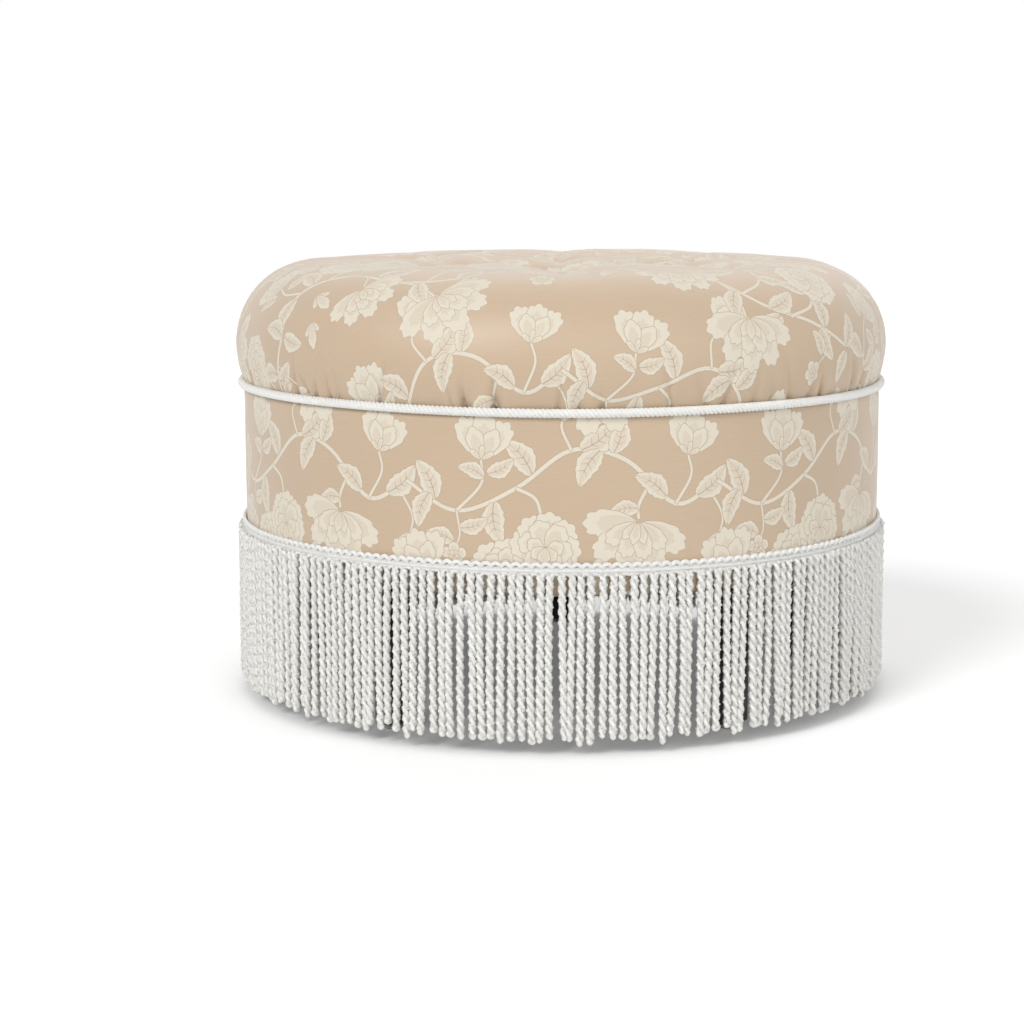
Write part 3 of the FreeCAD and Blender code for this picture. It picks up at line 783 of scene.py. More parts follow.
def painted_leg(mottle, wear, timber):
    """Dark satin paint on turned wood, rubbed at the foot."""
    hues = colours()
    material, nodes, shader = new_material("painted_leg")
    here = object_place(nodes)
    depth = uneven(nodes, mottle, here, 40.0, 600.0, 0.4)
    rubbed = nodes.group(wear, {"Place": here, "Top of wear": 0.035})["Wear"]
    upright = nodes.add("ShaderNodeMapping", {"Vector": here, "Rotation": (math.pi / 2, 0, 0)}).outputs[0]
    grain = nodes.group(timber, {"Place": upright, "Lines per metre": 160.0, "Waviness": 3.0})
    paint = nodes.mix(depth, opaque(hues.paint), opaque([c * 1.8 for c in hues.paint]))
    colour = nodes.mix(nodes.math("MULTIPLY", rubbed, 0.55), paint, (0.10, 0.085, 0.07, 1))
    rough = nodes.step(depth, 0.3, 0.7, 0.32, 0.48)
    relief = nodes.math("ADD", nodes.math("MULTIPLY", grain["Grain"], 0.5), depth)
    fill(nodes, shader, base_color=colour, roughness=rough, normal=bumped(nodes, relief, 0.00010, 0.6))
    fill(nodes, shader, coat_weight=0.15, coat_roughness=0.3)
    return material


def bare_timber(name, pale, dark, timber, lines, waviness):
    """Unfinished timber or plywood."""
    material, nodes, shader = new_material(name)
    here = object_place(nodes)
    grain = nodes.group(timber, {"Place": here, "Lines per metre": lines, "Waviness": waviness})
    colour = nodes.mix(grain["Grain"], opaque(pale), opaque(dark))
    colour = nodes.mix(nodes.math("MULTIPLY", grain["Pores"], 0.5), colour, dimmed(dark, 0.5))
    relief = nodes.math("SUBTRACT", grain["Grain"], grain["Pores"])
    fill(nodes, shader, base_color=colour, roughness=0.78, normal=bumped(nodes, relief, 0.00025, 0.7))
    return material


def zinc_plate(mottle):
    """Zinc-plated steel of bolts, nuts and screws."""
    material, nodes, shader = new_material("zinc_plate")
    here = object_place(nodes)
    depth = uneven(nodes, mottle, here, 180.0, 2500.0, 0.5)
    colour = nodes.mix(depth, (0.62, 0.63, 0.64, 1), (0.50, 0.51, 0.50, 1))
    rough = nodes.step(depth, 0.3, 0.7, 0.28, 0.46)
    relief = bumped(nodes, depth, 0.00005)
    fill(nodes, shader, base_color=colour, metallic=1.0, roughness=rough, normal=relief)
    return material


def nylon_glide(mottle, wear):
    """Off-white nylon, scuffed where it slides on the floor."""
    material, nodes, shader = new_material("nylon_glide")
    here = object_place(nodes)
    depth = uneven(nodes, mottle, here, 90.0, 1500.0, 0.5)
    scuffs = nodes.group(wear, {"Place": here, "Top of wear": 0.008})["Wear"]
    colour = nodes.mix(scuffs, (0.52, 0.51, 0.47, 1), (0.25, 0.24, 0.22, 1))
    rough = nodes.step(depth, 0.3, 0.7, 0.40, 0.62)
    fill(nodes, shader, base_color=colour, roughness=rough, normal=bumped(nodes, depth, 0.00008))
    return material


def soft_filling(name, colour, scale, distance, mottle):
    """Wadding or foam: a soft, open, uneven surface, with painted shade in its pits."""
    material, nodes, shader = new_material(name)
    here = object_place(nodes)
    cells = nodes.add("ShaderNodeTexVoronoi", {"Vector": here, "Scale": scale}).outputs["Distance"]
    depth = uneven(nodes, mottle, here, 30.0, scale, 0.5)
    # Painted shade: the pits of the cells, where the bump is lowest, are darker.
    tone = nodes.mix(cells, dimmed(colour, 0.82), opaque(colour))
    relief = nodes.math("ADD", cells, depth)
    fill(nodes, shader, base_color=tone, roughness=0.95, normal=bumped(nodes, relief, distance))
    fill(nodes, shader, sheen_weight=0.3)
    return material


def pressed_board(mottle):
    """Grey-brown paperboard with pressed fibres."""
    material, nodes, shader = new_material("pressed_board")
    here = object_place(nodes)
    depth = uneven(nodes, mottle, here, 20.0, 420.0, 0.6)
    colour = nodes.mix(depth, (0.50, 0.37, 0.24, 1), (0.36, 0.26, 0.16, 1))
    fill(nodes, shader, base_color=colour, roughness=0.88, normal=bumped(nodes, depth, 0.0002))
    return material


def bottom_cloth(weave, mottle):
    """Thin black non-woven cloth under the stool."""
    material, nodes, shader = new_material("bottom_cloth")
    place = cloth_place(nodes)
    threads = nodes.group(weave, {"Place": place, "Threads per metre": 700.0})
    depth = uneven(nodes, mottle, place, 14.0, 500.0, 0.6)
    colour = nodes.mix(depth, (0.012, 0.012, 0.013, 1), (0.035, 0.035, 0.037, 1))
    relief = nodes.math("ADD", threads["Height"], depth)
    fill(nodes, shader, base_color=colour, roughness=0.9, normal=bumped(nodes, relief, 0.00025))
    return material


MATERIALS = {}


def make_materials():
    """Makes every finish once, from shared effect groups."""
    hues = colours()
    weave = weave_group()
    mottle = mottle_group()
    fibre = fibre_group()
    timber = timber_group()
    wear = wear_group()
    MATERIALS["floral_satin"] = floral_satin(weave, mottle)
    MATERIALS["fringe_cotton"] = spun_cotton("fringe_cotton", hues.fringe, fibre, mottle, 210.0)
    MATERIALS["trim_cotton"] = spun_cotton("trim_cotton", hues.trim, fibre, mottle, 260.0)
    MATERIALS["twine"] = spun_cotton("waxed_twine", (0.66, 0.60, 0.47), fibre, mottle, 400.0)
    MATERIALS["painted_leg"] = painted_leg(mottle, wear, timber)
    MATERIALS["plywood"] = bare_timber("plywood", (0.66, 0.50, 0.33), (0.52, 0.37, 0.22), timber, 26.0, 6.0)
    MATERIALS["softwood"] = bare_timber("softwood", (0.72, 0.56, 0.36), (0.58, 0.40, 0.22), timber, 70.0, 2.0)
    MATERIALS["zinc_plate"] = zinc_plate(mottle)
    MATERIALS["nylon_glide"] = nylon_glide(mottle, wear)
    MATERIALS["wadding"] = soft_filling("wadding", (0.82, 0.82, 0.80), 260.0, 0.0008, mottle)
    MATERIALS["foam"] = soft_filling("foam", (0.80, 0.73, 0.50), 1100.0, 0.0003, mottle)
    MATERIALS["pressed_board"] = pressed_board(mottle)
    MATERIALS["bottom_cloth"] = bottom_cloth(weave, mottle)


# The crown's shape, from its outline, its buttons and the pleats between them.

SHOULDER_ROUND = 0.075
BULGE_DROP = 0.0814
CROWN_SLOPE = math.radians(3)
CORD_SEAT = 0.0070
TUCK = 0.0036
WELL_REACH = 0.042
PLEAT_END = 0.262
GATHER_HEIGHT = 0.048
FOLD_ROOM = 0.0090
FOLD_DEPTH = 0.0085
FOLD_BULGE = 0.0040
FILLING_FULL = 0.36
GATHER_COUNT = 110
GATHER_DEPTHS = (0.0030, 0.0100)
GATHER_WIDTHS = (0.008, 0.018)
GATHER_SLANT = 0.060
PLEAT_FADE = 0.175
RING_PLEAT = 0.72
SEAT_GAP = 0.0006
COVER_THICKNESS = 0.0012
FOAM_INSET = 0.0095
LAYER_GAP = 0.0005
CROWN_ROWS = 46
CROWN_COLUMNS = 144
CROWN_SPACING = 0.0052
RIM_POINTS = 900
GATHER_POINTS = 1000
GATHER_ROW = 0.0036


def crown_profile():
    """Radius, height, and the outward direction of both, along the crown from its middle to its foot."""
    wide = radius_of("top_cover")
    top = head_of("top_cover")
    foot = foot_of("top_cover") + SEAT_GAP
    waist = radius_of("cord_trim") - CORD_SEAT
    bulge = top - BULGE_DROP
    turn = np.linspace(math.pi / 2 - CROWN_SLOPE, 0, 40)
    arc = np.stack([wide - SHOULDER_ROUND * (1 - np.cos(turn)), bulge + SHOULDER_ROUND * np.sin(turn)], 1)
    run = np.linspace(0, 1, 60, endpoint=False)
    crown = np.stack([arc[0, 0] * run, top - (top - arc[0, 1]) * run**2], 1)
    fall = np.linspace(0, 1, 16)[1:]
    side = np.stack([wide - (wide - waist) * fall**2, bulge + (foot + 0.004 - bulge) * fall], 1)
    tuck = np.array([[waist - TUCK * 0.4, foot + 0.0015], [waist - TUCK, foot]])
    line = np.concatenate([crown, arc, side, tuck])
    length = lengths_along(line)
    even = np.linspace(0, length[-1], 500)
    radius = np.interp(even, length, line[:, 0])
    height = np.interp(even, length, line[:, 1])
    along = np.gradient(np.stack([radius, height], 1), axis=0)
    along /= np.linalg.norm(along, axis=1, keepdims=True)
    return even, radius, height, -along[:, 1], along[:, 0]


def button_places():
    """Where the buttons stand in plan: the middle one, then the ring."""
    ring = radius_of("tuft_buttons") - sizes().button_width / 2
    count = sizes().ring_buttons
    turn = -FULL_TURN / 4 + np.arange(count) * FULL_TURN / count
    round_it = ring * np.stack([np.cos(turn), np.sin(turn)], 1)
    return np.concatenate([[[0.0, 0.0]], round_it])


def distance_to_line(points, start, end):
    """Distance in plan from points to the straight line between two places."""
    run = end - start
    share = np.clip(((points - start) @ run) / (run @ run), 0, 1)
    return np.linalg.norm(points - start - share[:, None] * run, axis=1)


def smooth_share(value, low, high):
    """How far a value lies between two others, from 0 to 1, with soft ends."""
    share = np.clip((value - low) / (high - low), 0, 1)
    return share * share * (3 - 2 * share)


def tufting(plan):
    """How far buttons and pleats draw the cloth in at places in plan."""
    buttons = button_places()
    depth = head_of("top_cover") - foot_of("tuft_buttons")
    ring = buttons[1:]
    pleats = [(buttons[0], place, 1.0) for place in ring]
    pleats += [(place, np.roll(ring, -1, 0)[k], RING_PLEAT) for k, place in enumerate(ring)]
    pleats += [(place, place * PLEAT_END / np.linalg.norm(place), 1.0) for place in ring]
    reach = sizes().pleat_reach
    drawn = np.zeros(len(plan))
    for start, end, share in pleats:
        near = np.clip(1 - distance_to_line(plan, start, end) / reach, 0, 1)
        drawn = np.maximum(drawn, share * sizes().pleat_depth * near**1.7)
    drawn *= 1 - smooth_share(np.linalg.norm(plan, axis=1), PLEAT_FADE, PLEAT_END + 0.012)
    flat = sizes().button_width * 0.5
    well = np.zeros(len(plan))
    for place in buttons:
        away = np.linalg.norm(plan - place, axis=1)
        well = np.maximum(well, np.clip(1 - (away - flat) / WELL_REACH, 0, 1) ** 2.2)
    return ((well * depth) ** 3 + drawn**3) ** (1 / 3)


def gathers(angle, height):
    """How far the cloth is drawn in where its fullness is gathered in small pleats above the cord."""
    rng = np.random.default_rng(7)
    drawn = np.zeros(len(angle))
    foot = foot_of("top_cover")
    rise = np.clip((height - foot) / GATHER_HEIGHT, 0, 1.4)
    for _ in range(GATHER_COUNT):
        centre = rng.uniform(0, FULL_TURN)
        depth = rng.uniform(*GATHER_DEPTHS) * rng.uniform(0.5, 1.0)
        width = rng.uniform(*GATHER_WIDTHS)
        tall = rng.uniform(0.40, 1.25)
        slant = rng.uniform(-GATHER_SLANT, GATHER_SLANT)
        away = (angle - centre - slant * rise + math.pi) % FULL_TURN - math.pi
        fade = 1 - smooth_share(rise, 0.1 * tall, tall)
        crease = np.exp(-np.abs(away) / width) - 0.42 * np.exp(-((away / width / 2.6) ** 2))
        drawn += depth * fade * crease
    return np.clip(drawn, -FOLD_BULGE, FOLD_DEPTH)


def slow_waves(angle, along):
    """The slight unevenness of hand-stretched padding."""
    waves = 0.0007 * np.sin(3 * angle + 0.6) + 0.0006 * np.sin(7 * angle + 9 * along)
    return waves + 0.0004 * np.sin(13 * angle - 25 * along + 1.9)


def crown_places(along, angle, inset=0.0):
    """Points of the crown's surface, or of a layer under it, from flat places on its cloth."""
    length, radius, height, normal_out, normal_up = crown_profile()
    r = np.interp(along, length, radius)
    z = np.interp(along, length, height)
    plan = np.stack([r * np.cos(angle), r * np.sin(angle)], 1)
    if inset:
        folds = FOLD_ROOM * (1 - smooth_share(z, foot_of("top_cover") + GATHER_HEIGHT, FILLING_FULL))
    else:
        folds = gathers(angle, z)
    drawn = tufting(plan) + folds + inset
    body = smooth_share(along, 0.15, 0.27) * (1 - smooth_share(along, length[-1] - 0.03, length[-1]))
    drawn = drawn + body * slow_waves(angle, along)
    r = r - drawn * np.interp(along, length, normal_out)
    z = z - drawn * np.interp(along, length, normal_up)
    return about_axis(r, angle, z)


def crown_grid(inset):
    """A coarse crown surface: a middle point, then rings outwards."""
    rows, columns = CROWN_ROWS, CROWN_COLUMNS
    reach = crown_profile()[0][-1]
    along = np.repeat(np.linspace(0, reach, rows + 1)[1:], columns)
    angle = np.tile(np.arange(columns) * FULL_TURN / columns, rows)
    rings = crown_places(along, angle, inset)
    middle = crown_places(np.zeros(1), np.zeros(1), inset)
    faces = [(0, 1 + c, 1 + (c + 1) % columns) for c in range(columns)]
    for row in range(rows - 1):
        near = 1 + row * columns
        far = near + columns
        for column in range(columns):
            beside = (column + 1) % columns
            faces.append((near + column, far + column, far + beside, near + beside))
    return np.concatenate([middle, rings]), faces


def closed_below(points, faces, rim):
    """Closes a surface with a fan under its rim, whose indices run anticlockwise from above."""
    floor = points[rim].mean(0)
    points = np.concatenate([points, [floor]])
    fan = [(len(points) - 1, b, a) for a, b in zip(rim, np.roll(rim, -1))]
    return points, [*map(tuple, faces), *fan]


class FOOTSTOOL_OT_crown_cover(bpy.types.Operator):
    """Cut the crown's patterned cover and stretch it over the tufted cushion"""

    bl_idname = "footstool.crown_cover"
    bl_label = "Crown Cover"

    def execute(self, context):
        reach = crown_profile()[0][-1]

        def inside(points, margin=0.0):
            return np.linalg.norm(points, axis=1) < reach - margin

        turn = np.arange(RIM_POINTS) * FULL_TURN / RIM_POINTS
        border = reach * np.stack([np.cos(turn), np.sin(turn)], 1)
        finer = []
        for ring in np.arange(reach - GATHER_HEIGHT * 1.2, reach - 0.002, GATHER_ROW):
            step = np.arange(GATHER_POINTS) * FULL_TURN / GATHER_POINTS + ring * 40
            finer.extend(ring * np.stack([np.cos(step), np.sin(step)], 1))
        low = np.array([-reach, -reach])
        flat, triangles, tones = cut_cloth(low, -low, CROWN_SPACING, inside, border, finer)
        along = np.linalg.norm(flat, axis=1)
        angle = np.arctan2(flat[:, 1], flat[:, 0])
        places = crown_places(along, angle)
        cloth = (flat, triangles, tones)
        piece = cloth_piece("crown_cover", cloth, places, MATERIALS["floral_satin"])
        close_crown(piece)
        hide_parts("top_cover")
        return {"FINISHED"}


def close_crown(piece):
    """Closes the cover underneath, where it is drawn over the seat board."""
    bm = bmesh.new()
    bm.from_mesh(piece.data)
    rim = [edge for edge in bm.edges if edge.is_boundary]
    floor = bm.verts.new((0, 0, foot_of("top_cover") + SEAT_GAP))
    for edge in rim:
        loop = edge.link_loops[0]
        face = bm.faces.new((loop.link_loop_next.vert, loop.vert, floor))
        face.smooth = False
    bm.to_mesh(piece.data)
    bm.free()


class FOOTSTOOL_OT_crown_filling(bpy.types.Operator):
    """Build the wadding and the foam core under the crown's cover"""

    bl_idname = "footstool.crown_filling"
    bl_label = "Crown Filling"

    def execute(self, context):
        outer, outer_faces = crown_grid(COVER_THICKNESS)
        inner, inner_faces = crown_grid(FOAM_INSET - LAYER_GAP)
        shift = len(outer)
        rim = range(shift - CROWN_COLUMNS, shift)
        faces = [*outer_faces, *[tuple(k + shift for k in reversed(f)) for f in inner_faces]]
        for a, b in zip(rim, [*rim[1:], rim[0]]):
            faces.append((b, a, a + shift, b + shift))
        wadding = new_piece(
            "crown_wadding", np.concatenate([outer, inner]), faces, MATERIALS["wadding"]
        )
        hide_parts("cushion_batting")
        points, faces = crown_grid(FOAM_INSET)
        rim = np.arange(len(points) - CROWN_COLUMNS, len(points))
        points, faces = closed_below(points, faces, rim)
        core = new_piece("crown_foam", points, faces, MATERIALS["foam"])
        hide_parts("cushion_foam")
        return {"FINISHED"}


class FOOTSTOOL_OT_buttons(bpy.types.Operator):
    """Model one covered button and set a copy in each tuft"""

    bl_idname = "footstool.buttons"
    bl_label = "Tuft Buttons"

    def execute(self, context):
        width = sizes().button_width
        seat = foot_of("tuft_buttons")
        bpy.ops.object.select_all(action="DESELECT")
        bpy.ops.mesh.primitive_uv_sphere_add(segments=40, ring_count=24, radius=width / 2)
        pattern = context.active_object
        bpy.ops.object.mode_set(mode="EDIT")
        bpy.ops.mesh.select_all(action="SELECT")
        bpy.ops.mesh.bisect(
            plane_co=(0, 0, -width * 0.16), plane_no=(0, 0, 1), use_fill=True, clear_inner=True
        )
        bpy.ops.mesh.inset(thickness=width * 0.10)
        bpy.ops.transform.translate(value=(0, 0, width * 0.05))
        bpy.ops.mesh.select_all(action="SELECT")
        bpy.ops.transform.resize(value=(1, 1, 0.52), center_override=(0, 0, 0))
        bpy.ops.object.mode_set(mode="OBJECT")
        bpy.ops.object.shade_smooth_by_angle(angle=math.radians(40))
        low = min(vertex.co.z for vertex in pattern.data.vertices)
        for number, (x, y) in enumerate(button_places(), 1):
            mesh = pattern.data.copy()
            piece = bpy.data.objects.new(f"tuft_button_{number}", mesh)
            context.scene.collection.objects.link(piece)
            mesh.uv_layers.active.name = "cloth"
            for vertex in mesh.vertices:
                pucker = 0.0002 * math.sin(9 * math.atan2(vertex.co.y, vertex.co.x) + number)
                rim = 1 - min(1, max(0, vertex.co.z / (width * 0.2)))
                vertex.co.xy *= 1 + pucker * rim / (width / 2)
            flat = [(v.co.x + 0.1 * number, v.co.y) for v in mesh.vertices]
            mesh.uv_layers.remove(mesh.uv_layers[0])
            paint_uv(piece, flat)
            for vertex in mesh.vertices:
                vertex.co += Vector((x, y, seat - low))
            mesh.materials.append(MATERIALS["floral_satin"])
            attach(piece, "root")
            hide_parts("tuft_buttons")
        bpy.data.objects.remove(pattern)
        return {"FINISHED"}


# The side: its padding and cover, the edge cord and the fringe.

SIDE_WADDING = 0.006
UNDER_TURN = 0.027
SIDE_SPACING = 0.0075
CORD_FULLNESS = 1.12
CORD_RINGS = 11
SCALLOP_YARN = 0.0038
PLAIT_YARN = 0.0019
FOOT_YARN = 0.0028
PLY_SHARE = 0.47
PLY_OFFSET = 0.275


class FOOTSTOOL_OT_side(bpy.types.Operator):
    """Build the padding round the drum and stretch the patterned side cover over it"""

    bl_idname = "footstool.side"
    bl_label = "Side"

    def execute(self, context):
        outer = radius_of("side_padding")
        inner = outer - SIDE_WADDING
        low = foot_of("side_padding")
        top = head_of("side_padding")
        soft = 0.002
        profile = [
            (inner, low), (outer - soft, low), (outer, low + soft),
            (outer, top - soft), (outer - soft, top), (inner, top),
        ]
        points, faces = turned_shell(profile, 180)
        wadding = new_piece("side_wadding", points, faces, MATERIALS["wadding"])
        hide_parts("side_padding")
        self.stretch_cover()
        return {"FINISHED"}

    def stretch_cover(self):
        """Cuts the cover flat, wraps it round the side and turns its lower edge under."""
        round_it = radius_of("side_cover")
        girth = FULL_TURN * round_it
        top = head_of("side_cover")
        low = foot_of("side_cover")
        edge = 0.003
        line = np.array([
            (round_it - 0.0022, top + 0.0004), (round_it - 0.0006, top - 0.002), (round_it, top - 0.006),
            (round_it + 0.0004, (top + low) / 2), (round_it, low + edge),
            (round_it - edge * 0.3, low + edge * 0.3), (round_it - edge, low), (round_it - UNDER_TURN, low),
        ])
        length = lengths_along(line)

        def inside(points, margin=0.0):
            x_in = (points[:, 0] > margin) & (points[:, 0] < girth - margin)
            return x_in & (points[:, 1] > -length[-1] + margin) & (points[:, 1] < -margin)

        columns = np.linspace(0, girth, 500)
        rows = np.linspace(-length[-1], 0, 40)[1:-1]
        border = [(x, -length[-1]) for x in columns]
        border += [(girth, y) for y in rows]
        border += [(x, 0.0) for x in columns[::-1]]
        border += [(0.0, y) for y in rows[::-1]]
        low_corner = np.array([0.0, -length[-1]])
        high_corner = np.array([girth, 0.0])
        turned_edges = [(x, -fold) for fold in length[1:-1] for x in np.arange(0.002, girth - 0.002, 0.005)]
        flat, triangles, tones = cut_cloth(low_corner, high_corner, SIDE_SPACING, inside, border, turned_edges)
        angle = flat[:, 0] / round_it + FULL_TURN / 4
        radius = np.interp(-flat[:, 1], length, line[:, 0])
        height = np.interp(-flat[:, 1], length, line[:, 1])
        radius = radius + 0.0005 * np.sin(5 * angle + 1) * smooth_share(-flat[:, 1], 0.0, 0.02)
        places = about_axis(radius, angle, height)
        cloth = (flat, triangles, tones)
        piece = cloth_piece("side_cover_cloth", cloth, places, MATERIALS["floral_satin"])
        bm = bmesh.new()
        bm.from_mesh(piece.data)
        bmesh.ops.remove_doubles(bm, verts=bm.verts, dist=1e-6)
        bm.to_mesh(piece.data)
        bm.free()
        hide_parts("side_cover")


def yarn_piece(name, points, faces, uv, material):
    """A piece of yarn with its UV map closed round each tube."""
    piece = new_piece(name, points, faces, material)
    paint_uv(piece, uv, "yarn")
    mesh = piece.data
    layer = mesh.uv_layers["yarn"].data
    uv_all = np.empty(len(mesh.loops) * 2, np.float32)
    layer.foreach_get("uv", uv_all)
    uv_all = uv_all.reshape(-1, 2)
    starts = np.empty(len(mesh.polygons), np.int32)
    totals = np.empty(len(mesh.polygons), np.int32)
    mesh.polygons.foreach_get("loop_start", starts)
    mesh.polygons.foreach_get("loop_total", totals)
    quads = starts[totals == 4][:, None] + np.arange(4)
    turn = uv_all[quads, 1]
    wraps = (turn.max(1) - turn.min(1)) > 0.5
    turn[wraps] = np.where(turn[wraps] < 0.5, turn[wraps] + 1, turn[wraps])
    uv_all[quads, 1] = turn
    layer.foreach_set("uv", uv_all.ravel())
    return piece


def ring_yarn(radius, height, width, sides, angle):
    """A closed yarn round the stool: its points, faces and UV places."""
    path = about_axis(radius, angle, height)
    outward = about_axis(1.0, angle, np.zeros(len(angle)))
    rings = tube_rings(path, outward, width / 2, sides, closed=True)
    faces = tube_faces(len(path), sides, closed=True)
    return rings.reshape(-1, 3), faces, tube_uv(lengths_along(path), sides)


def open_yarn(path, outward, radius, sides):
    """A yarn with two ends: its points, faces and UV places."""
    rings = tube_rings(path, outward, radius, sides)
    return rings.reshape(-1, 3), tube_faces(len(path), sides), tube_uv(lengths_along(path), sides)


def gathered_yarns(name, yarns, material):
    """Several yarns as one piece."""
    points, faces, uv = [], [], []
    for yarn_points, yarn_faces, yarn_uv in yarns:
        shift = sum(len(p) for p in points)
        points.append(yarn_points)
        faces.extend(tuple(k + shift for k in face) for face in yarn_faces)
        uv.append(yarn_uv)
    return yarn_piece(name, np.concatenate(points), faces, np.concatenate(uv), material)


class FOOTSTOOL_OT_edge_cord(bpy.types.Operator):
    """Twist the three-ply cord that covers the seam between crown and side"""

    bl_idname = "footstool.edge_cord"
    bl_label = "Edge Cord"

    def execute(self, context):
        low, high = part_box("cord_trim")
        width = CORD_FULLNESS * (high.z - low.z) / math.cos(math.radians(30))
        middle = high.x - width / 2
        level = (low.z + high.z) / 2
        ply = width * PLY_SHARE
        offset = width * PLY_OFFSET
        turns = sizes().cord_turns
        count = turns * CORD_RINGS
        angle = np.arange(count) * FULL_TURN / count + FULL_TURN / 4
        dip = 0.0005 * np.sin(2 * angle + 0.4) + 0.0003 * np.sin(5 * angle)
        plies = []
        for number in range(3):
            turn = turns * angle + number * FULL_TURN / 3
            radius = middle + offset * np.sin(turn)
            height = level + dip + offset * np.cos(turn)
            plies.append(ring_yarn(radius, height, ply, 8, angle))
        piece = gathered_yarns("edge_cord", plies, MATERIALS["trim_cotton"])
        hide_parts("cord_trim")
        return {"FINISHED"}


class FOOTSTOOL_OT_fringe_heading(bpy.types.Operator):
    """Plait the scalloped heading that carries the fringe"""

    bl_idname = "footstool.fringe_heading"
    bl_label = "Fringe Heading"

    def execute(self, context):
        low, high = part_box("fringe_header")
        face = high.x
        strands = sizes().strand_count
        count = strands * 10
        angle = np.arange(count) * FULL_TURN / count + FULL_TURN / 4
        wave = strands * angle / 2
        sag = 0.0006 * np.sin(angle * 3 + 1)
        scallop = np.abs(np.sin(wave)) ** 0.55
        radius = face - 0.0012 - 0.0008 * (1 - scallop)
        height = high.z - 0.0056 + 0.0043 * scallop + sag
        yarns = [ring_yarn(radius, height, SCALLOP_YARN, 6, angle)]
        for number in range(3):
            turn = strands * 1.5 * angle + number * FULL_TURN / 3
            radius = face - 0.0011 + 0.0005 * np.cos(2 * turn)
            height = low.z + 0.0053 + 0.0017 * np.sin(turn) + sag
            yarns.append(ring_yarn(radius, height, PLAIT_YARN, 5, angle))
        lower = np.abs(np.sin(wave + 0.9)) ** 0.7
        radius = face - 0.0010 + 0.0004 * lower
        height = low.z + 0.0018 + 0.0011 * lower + sag
        yarns.append(ring_yarn(radius, height, FOOT_YARN, 6, angle))
        heading = gathered_yarns("fringe_heading", yarns, MATERIALS["trim_cotton"])
        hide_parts("fringe_header")
        inner = radius_of("side_cover") + 0.0002
        tape = [
            (inner, low.z + 0.0010), (face - 0.0016, low.z + 0.0010),
            (face - 0.0016, high.z - 0.0035), (inner, high.z - 0.0035),
        ]
        points, faces = turned_shell(tape, strands)
        angle = np.tile(np.arange(strands) * FULL_TURN / strands, len(tape))
        uv = np.stack([angle * face, points[:, 2] * 40], 1)
        tape_piece = new_piece("heading_tape", points, faces, MATERIALS["trim_cotton"])
        paint_uv(tape_piece, uv, "yarn")
        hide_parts("fringe_header")
        return {"FINISHED"}


SECTORS = 8
RINGS_PER_TURN = 7
STRAND_SIDES = 5
YARN_SHARE = 0.60
PLACE_SCATTER = 0.11
LENGTH_SCATTER = 0.0024


def strand(rng, angle, radius, top, bottom):
    """One hanging strand: a single yarn that goes down, turns back and winds round itself."""
    lay = sizes().strand_lay * rng.uniform(0.93, 1.07)
    width = sizes().strand_width * rng.uniform(0.95, 1.05)
    yarn = width * YARN_SHARE
    offset = (width - yarn) / 2
    straight = top - bottom - offset - yarn / 2
    rows = max(12, round(straight / lay * RINGS_PER_TURN))
    down = np.linspace(0, 1, rows)
    phase = rng.uniform(0, FULL_TURN)
    lean = rng.normal(0, 0.0016)
    bow = rng.normal(0, 0.0009)
    push = rng.uniform(-0.0012, 0.0004)
    aside = lean * down**1.3 + bow * np.sin(math.pi * down)
    out = push * down + 0.0004 * np.sin(4 * down + phase)
    turn = phase - FULL_TURN * straight * down / lay
    bend = np.linspace(0, math.pi, 5)[1:-1]
    wound = offset * (1 + 0.10 * np.sin(2.3 * turn + phase))
    way_down = np.stack([aside + wound * np.cos(turn), out + wound * np.sin(turn), -straight * down], 1)
    way_up = np.stack([aside - wound * np.cos(turn), out - wound * np.sin(turn), -straight * down], 1)[::-1]
    loop = np.stack([
        aside[-1] + offset * np.cos(bend) * math.cos(turn[-1]),
        out[-1] + offset * np.cos(bend) * math.sin(turn[-1]),
        -straight - offset * np.sin(bend),
    ], 1)
    path = np.concatenate([way_down, loop, way_up])
    middle = np.stack([aside, out, -straight * down], 1)
    centre = np.concatenate([middle, np.repeat(middle[-1:], len(bend), 0), middle[::-1]])
    local = tube_rings(path, path - centre, yarn / 2, STRAND_SIDES).reshape(-1, 3)
    across = np.array([-math.sin(angle), math.cos(angle), 0])
    outward = np.array([math.cos(angle), math.sin(angle), 0])
    points = radius * outward + local[:, :1] * across + local[:, 1:2] * outward
    points[:, 2] = top + local[:, 2]
    run = lengths_along(path) + rng.uniform(0, 1)
    return points, tube_faces(len(path), STRAND_SIDES), tube_uv(run, STRAND_SIDES)


class FOOTSTOOL_OT_fringe(bpy.types.Operator):
    bl_idname = "footstool.fringe"
    bl_label = "Fringe"

    def execute(self, context):
        rng = np.random.default_rng(21)
        low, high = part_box("fringe_strands")
        radius = radius_of("side_cover") + sizes().strand_width / 2
        count = sizes().strand_count
        step = FULL_TURN / count
        for sector in range(SECTORS):
            yarns = []
            for number in range(sector * count // SECTORS, (sector + 1) * count // SECTORS):
                angle = number * step + rng.normal(0, PLACE_SCATTER) * step
                bottom = low.z + 0.0015 + rng.normal(0, LENGTH_SCATTER)
                bottom = max(bottom, low.z - 0.003)
                yarns.append(strand(rng, angle, radius, high.z + 0.003, bottom))
            name = f"fringe_{sector + 1}"
            piece = gathered_yarns(name, yarns, MATERIALS["fringe_cotton"])
            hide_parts("fringe_strands")
        return {"FINISHED"}


# Underneath and inside.

CLOTH_GAP = 0.0003
TWINE_SIDES = 5
TWINE_PLY = 0.0006
KNOT_PLY = 0.0007


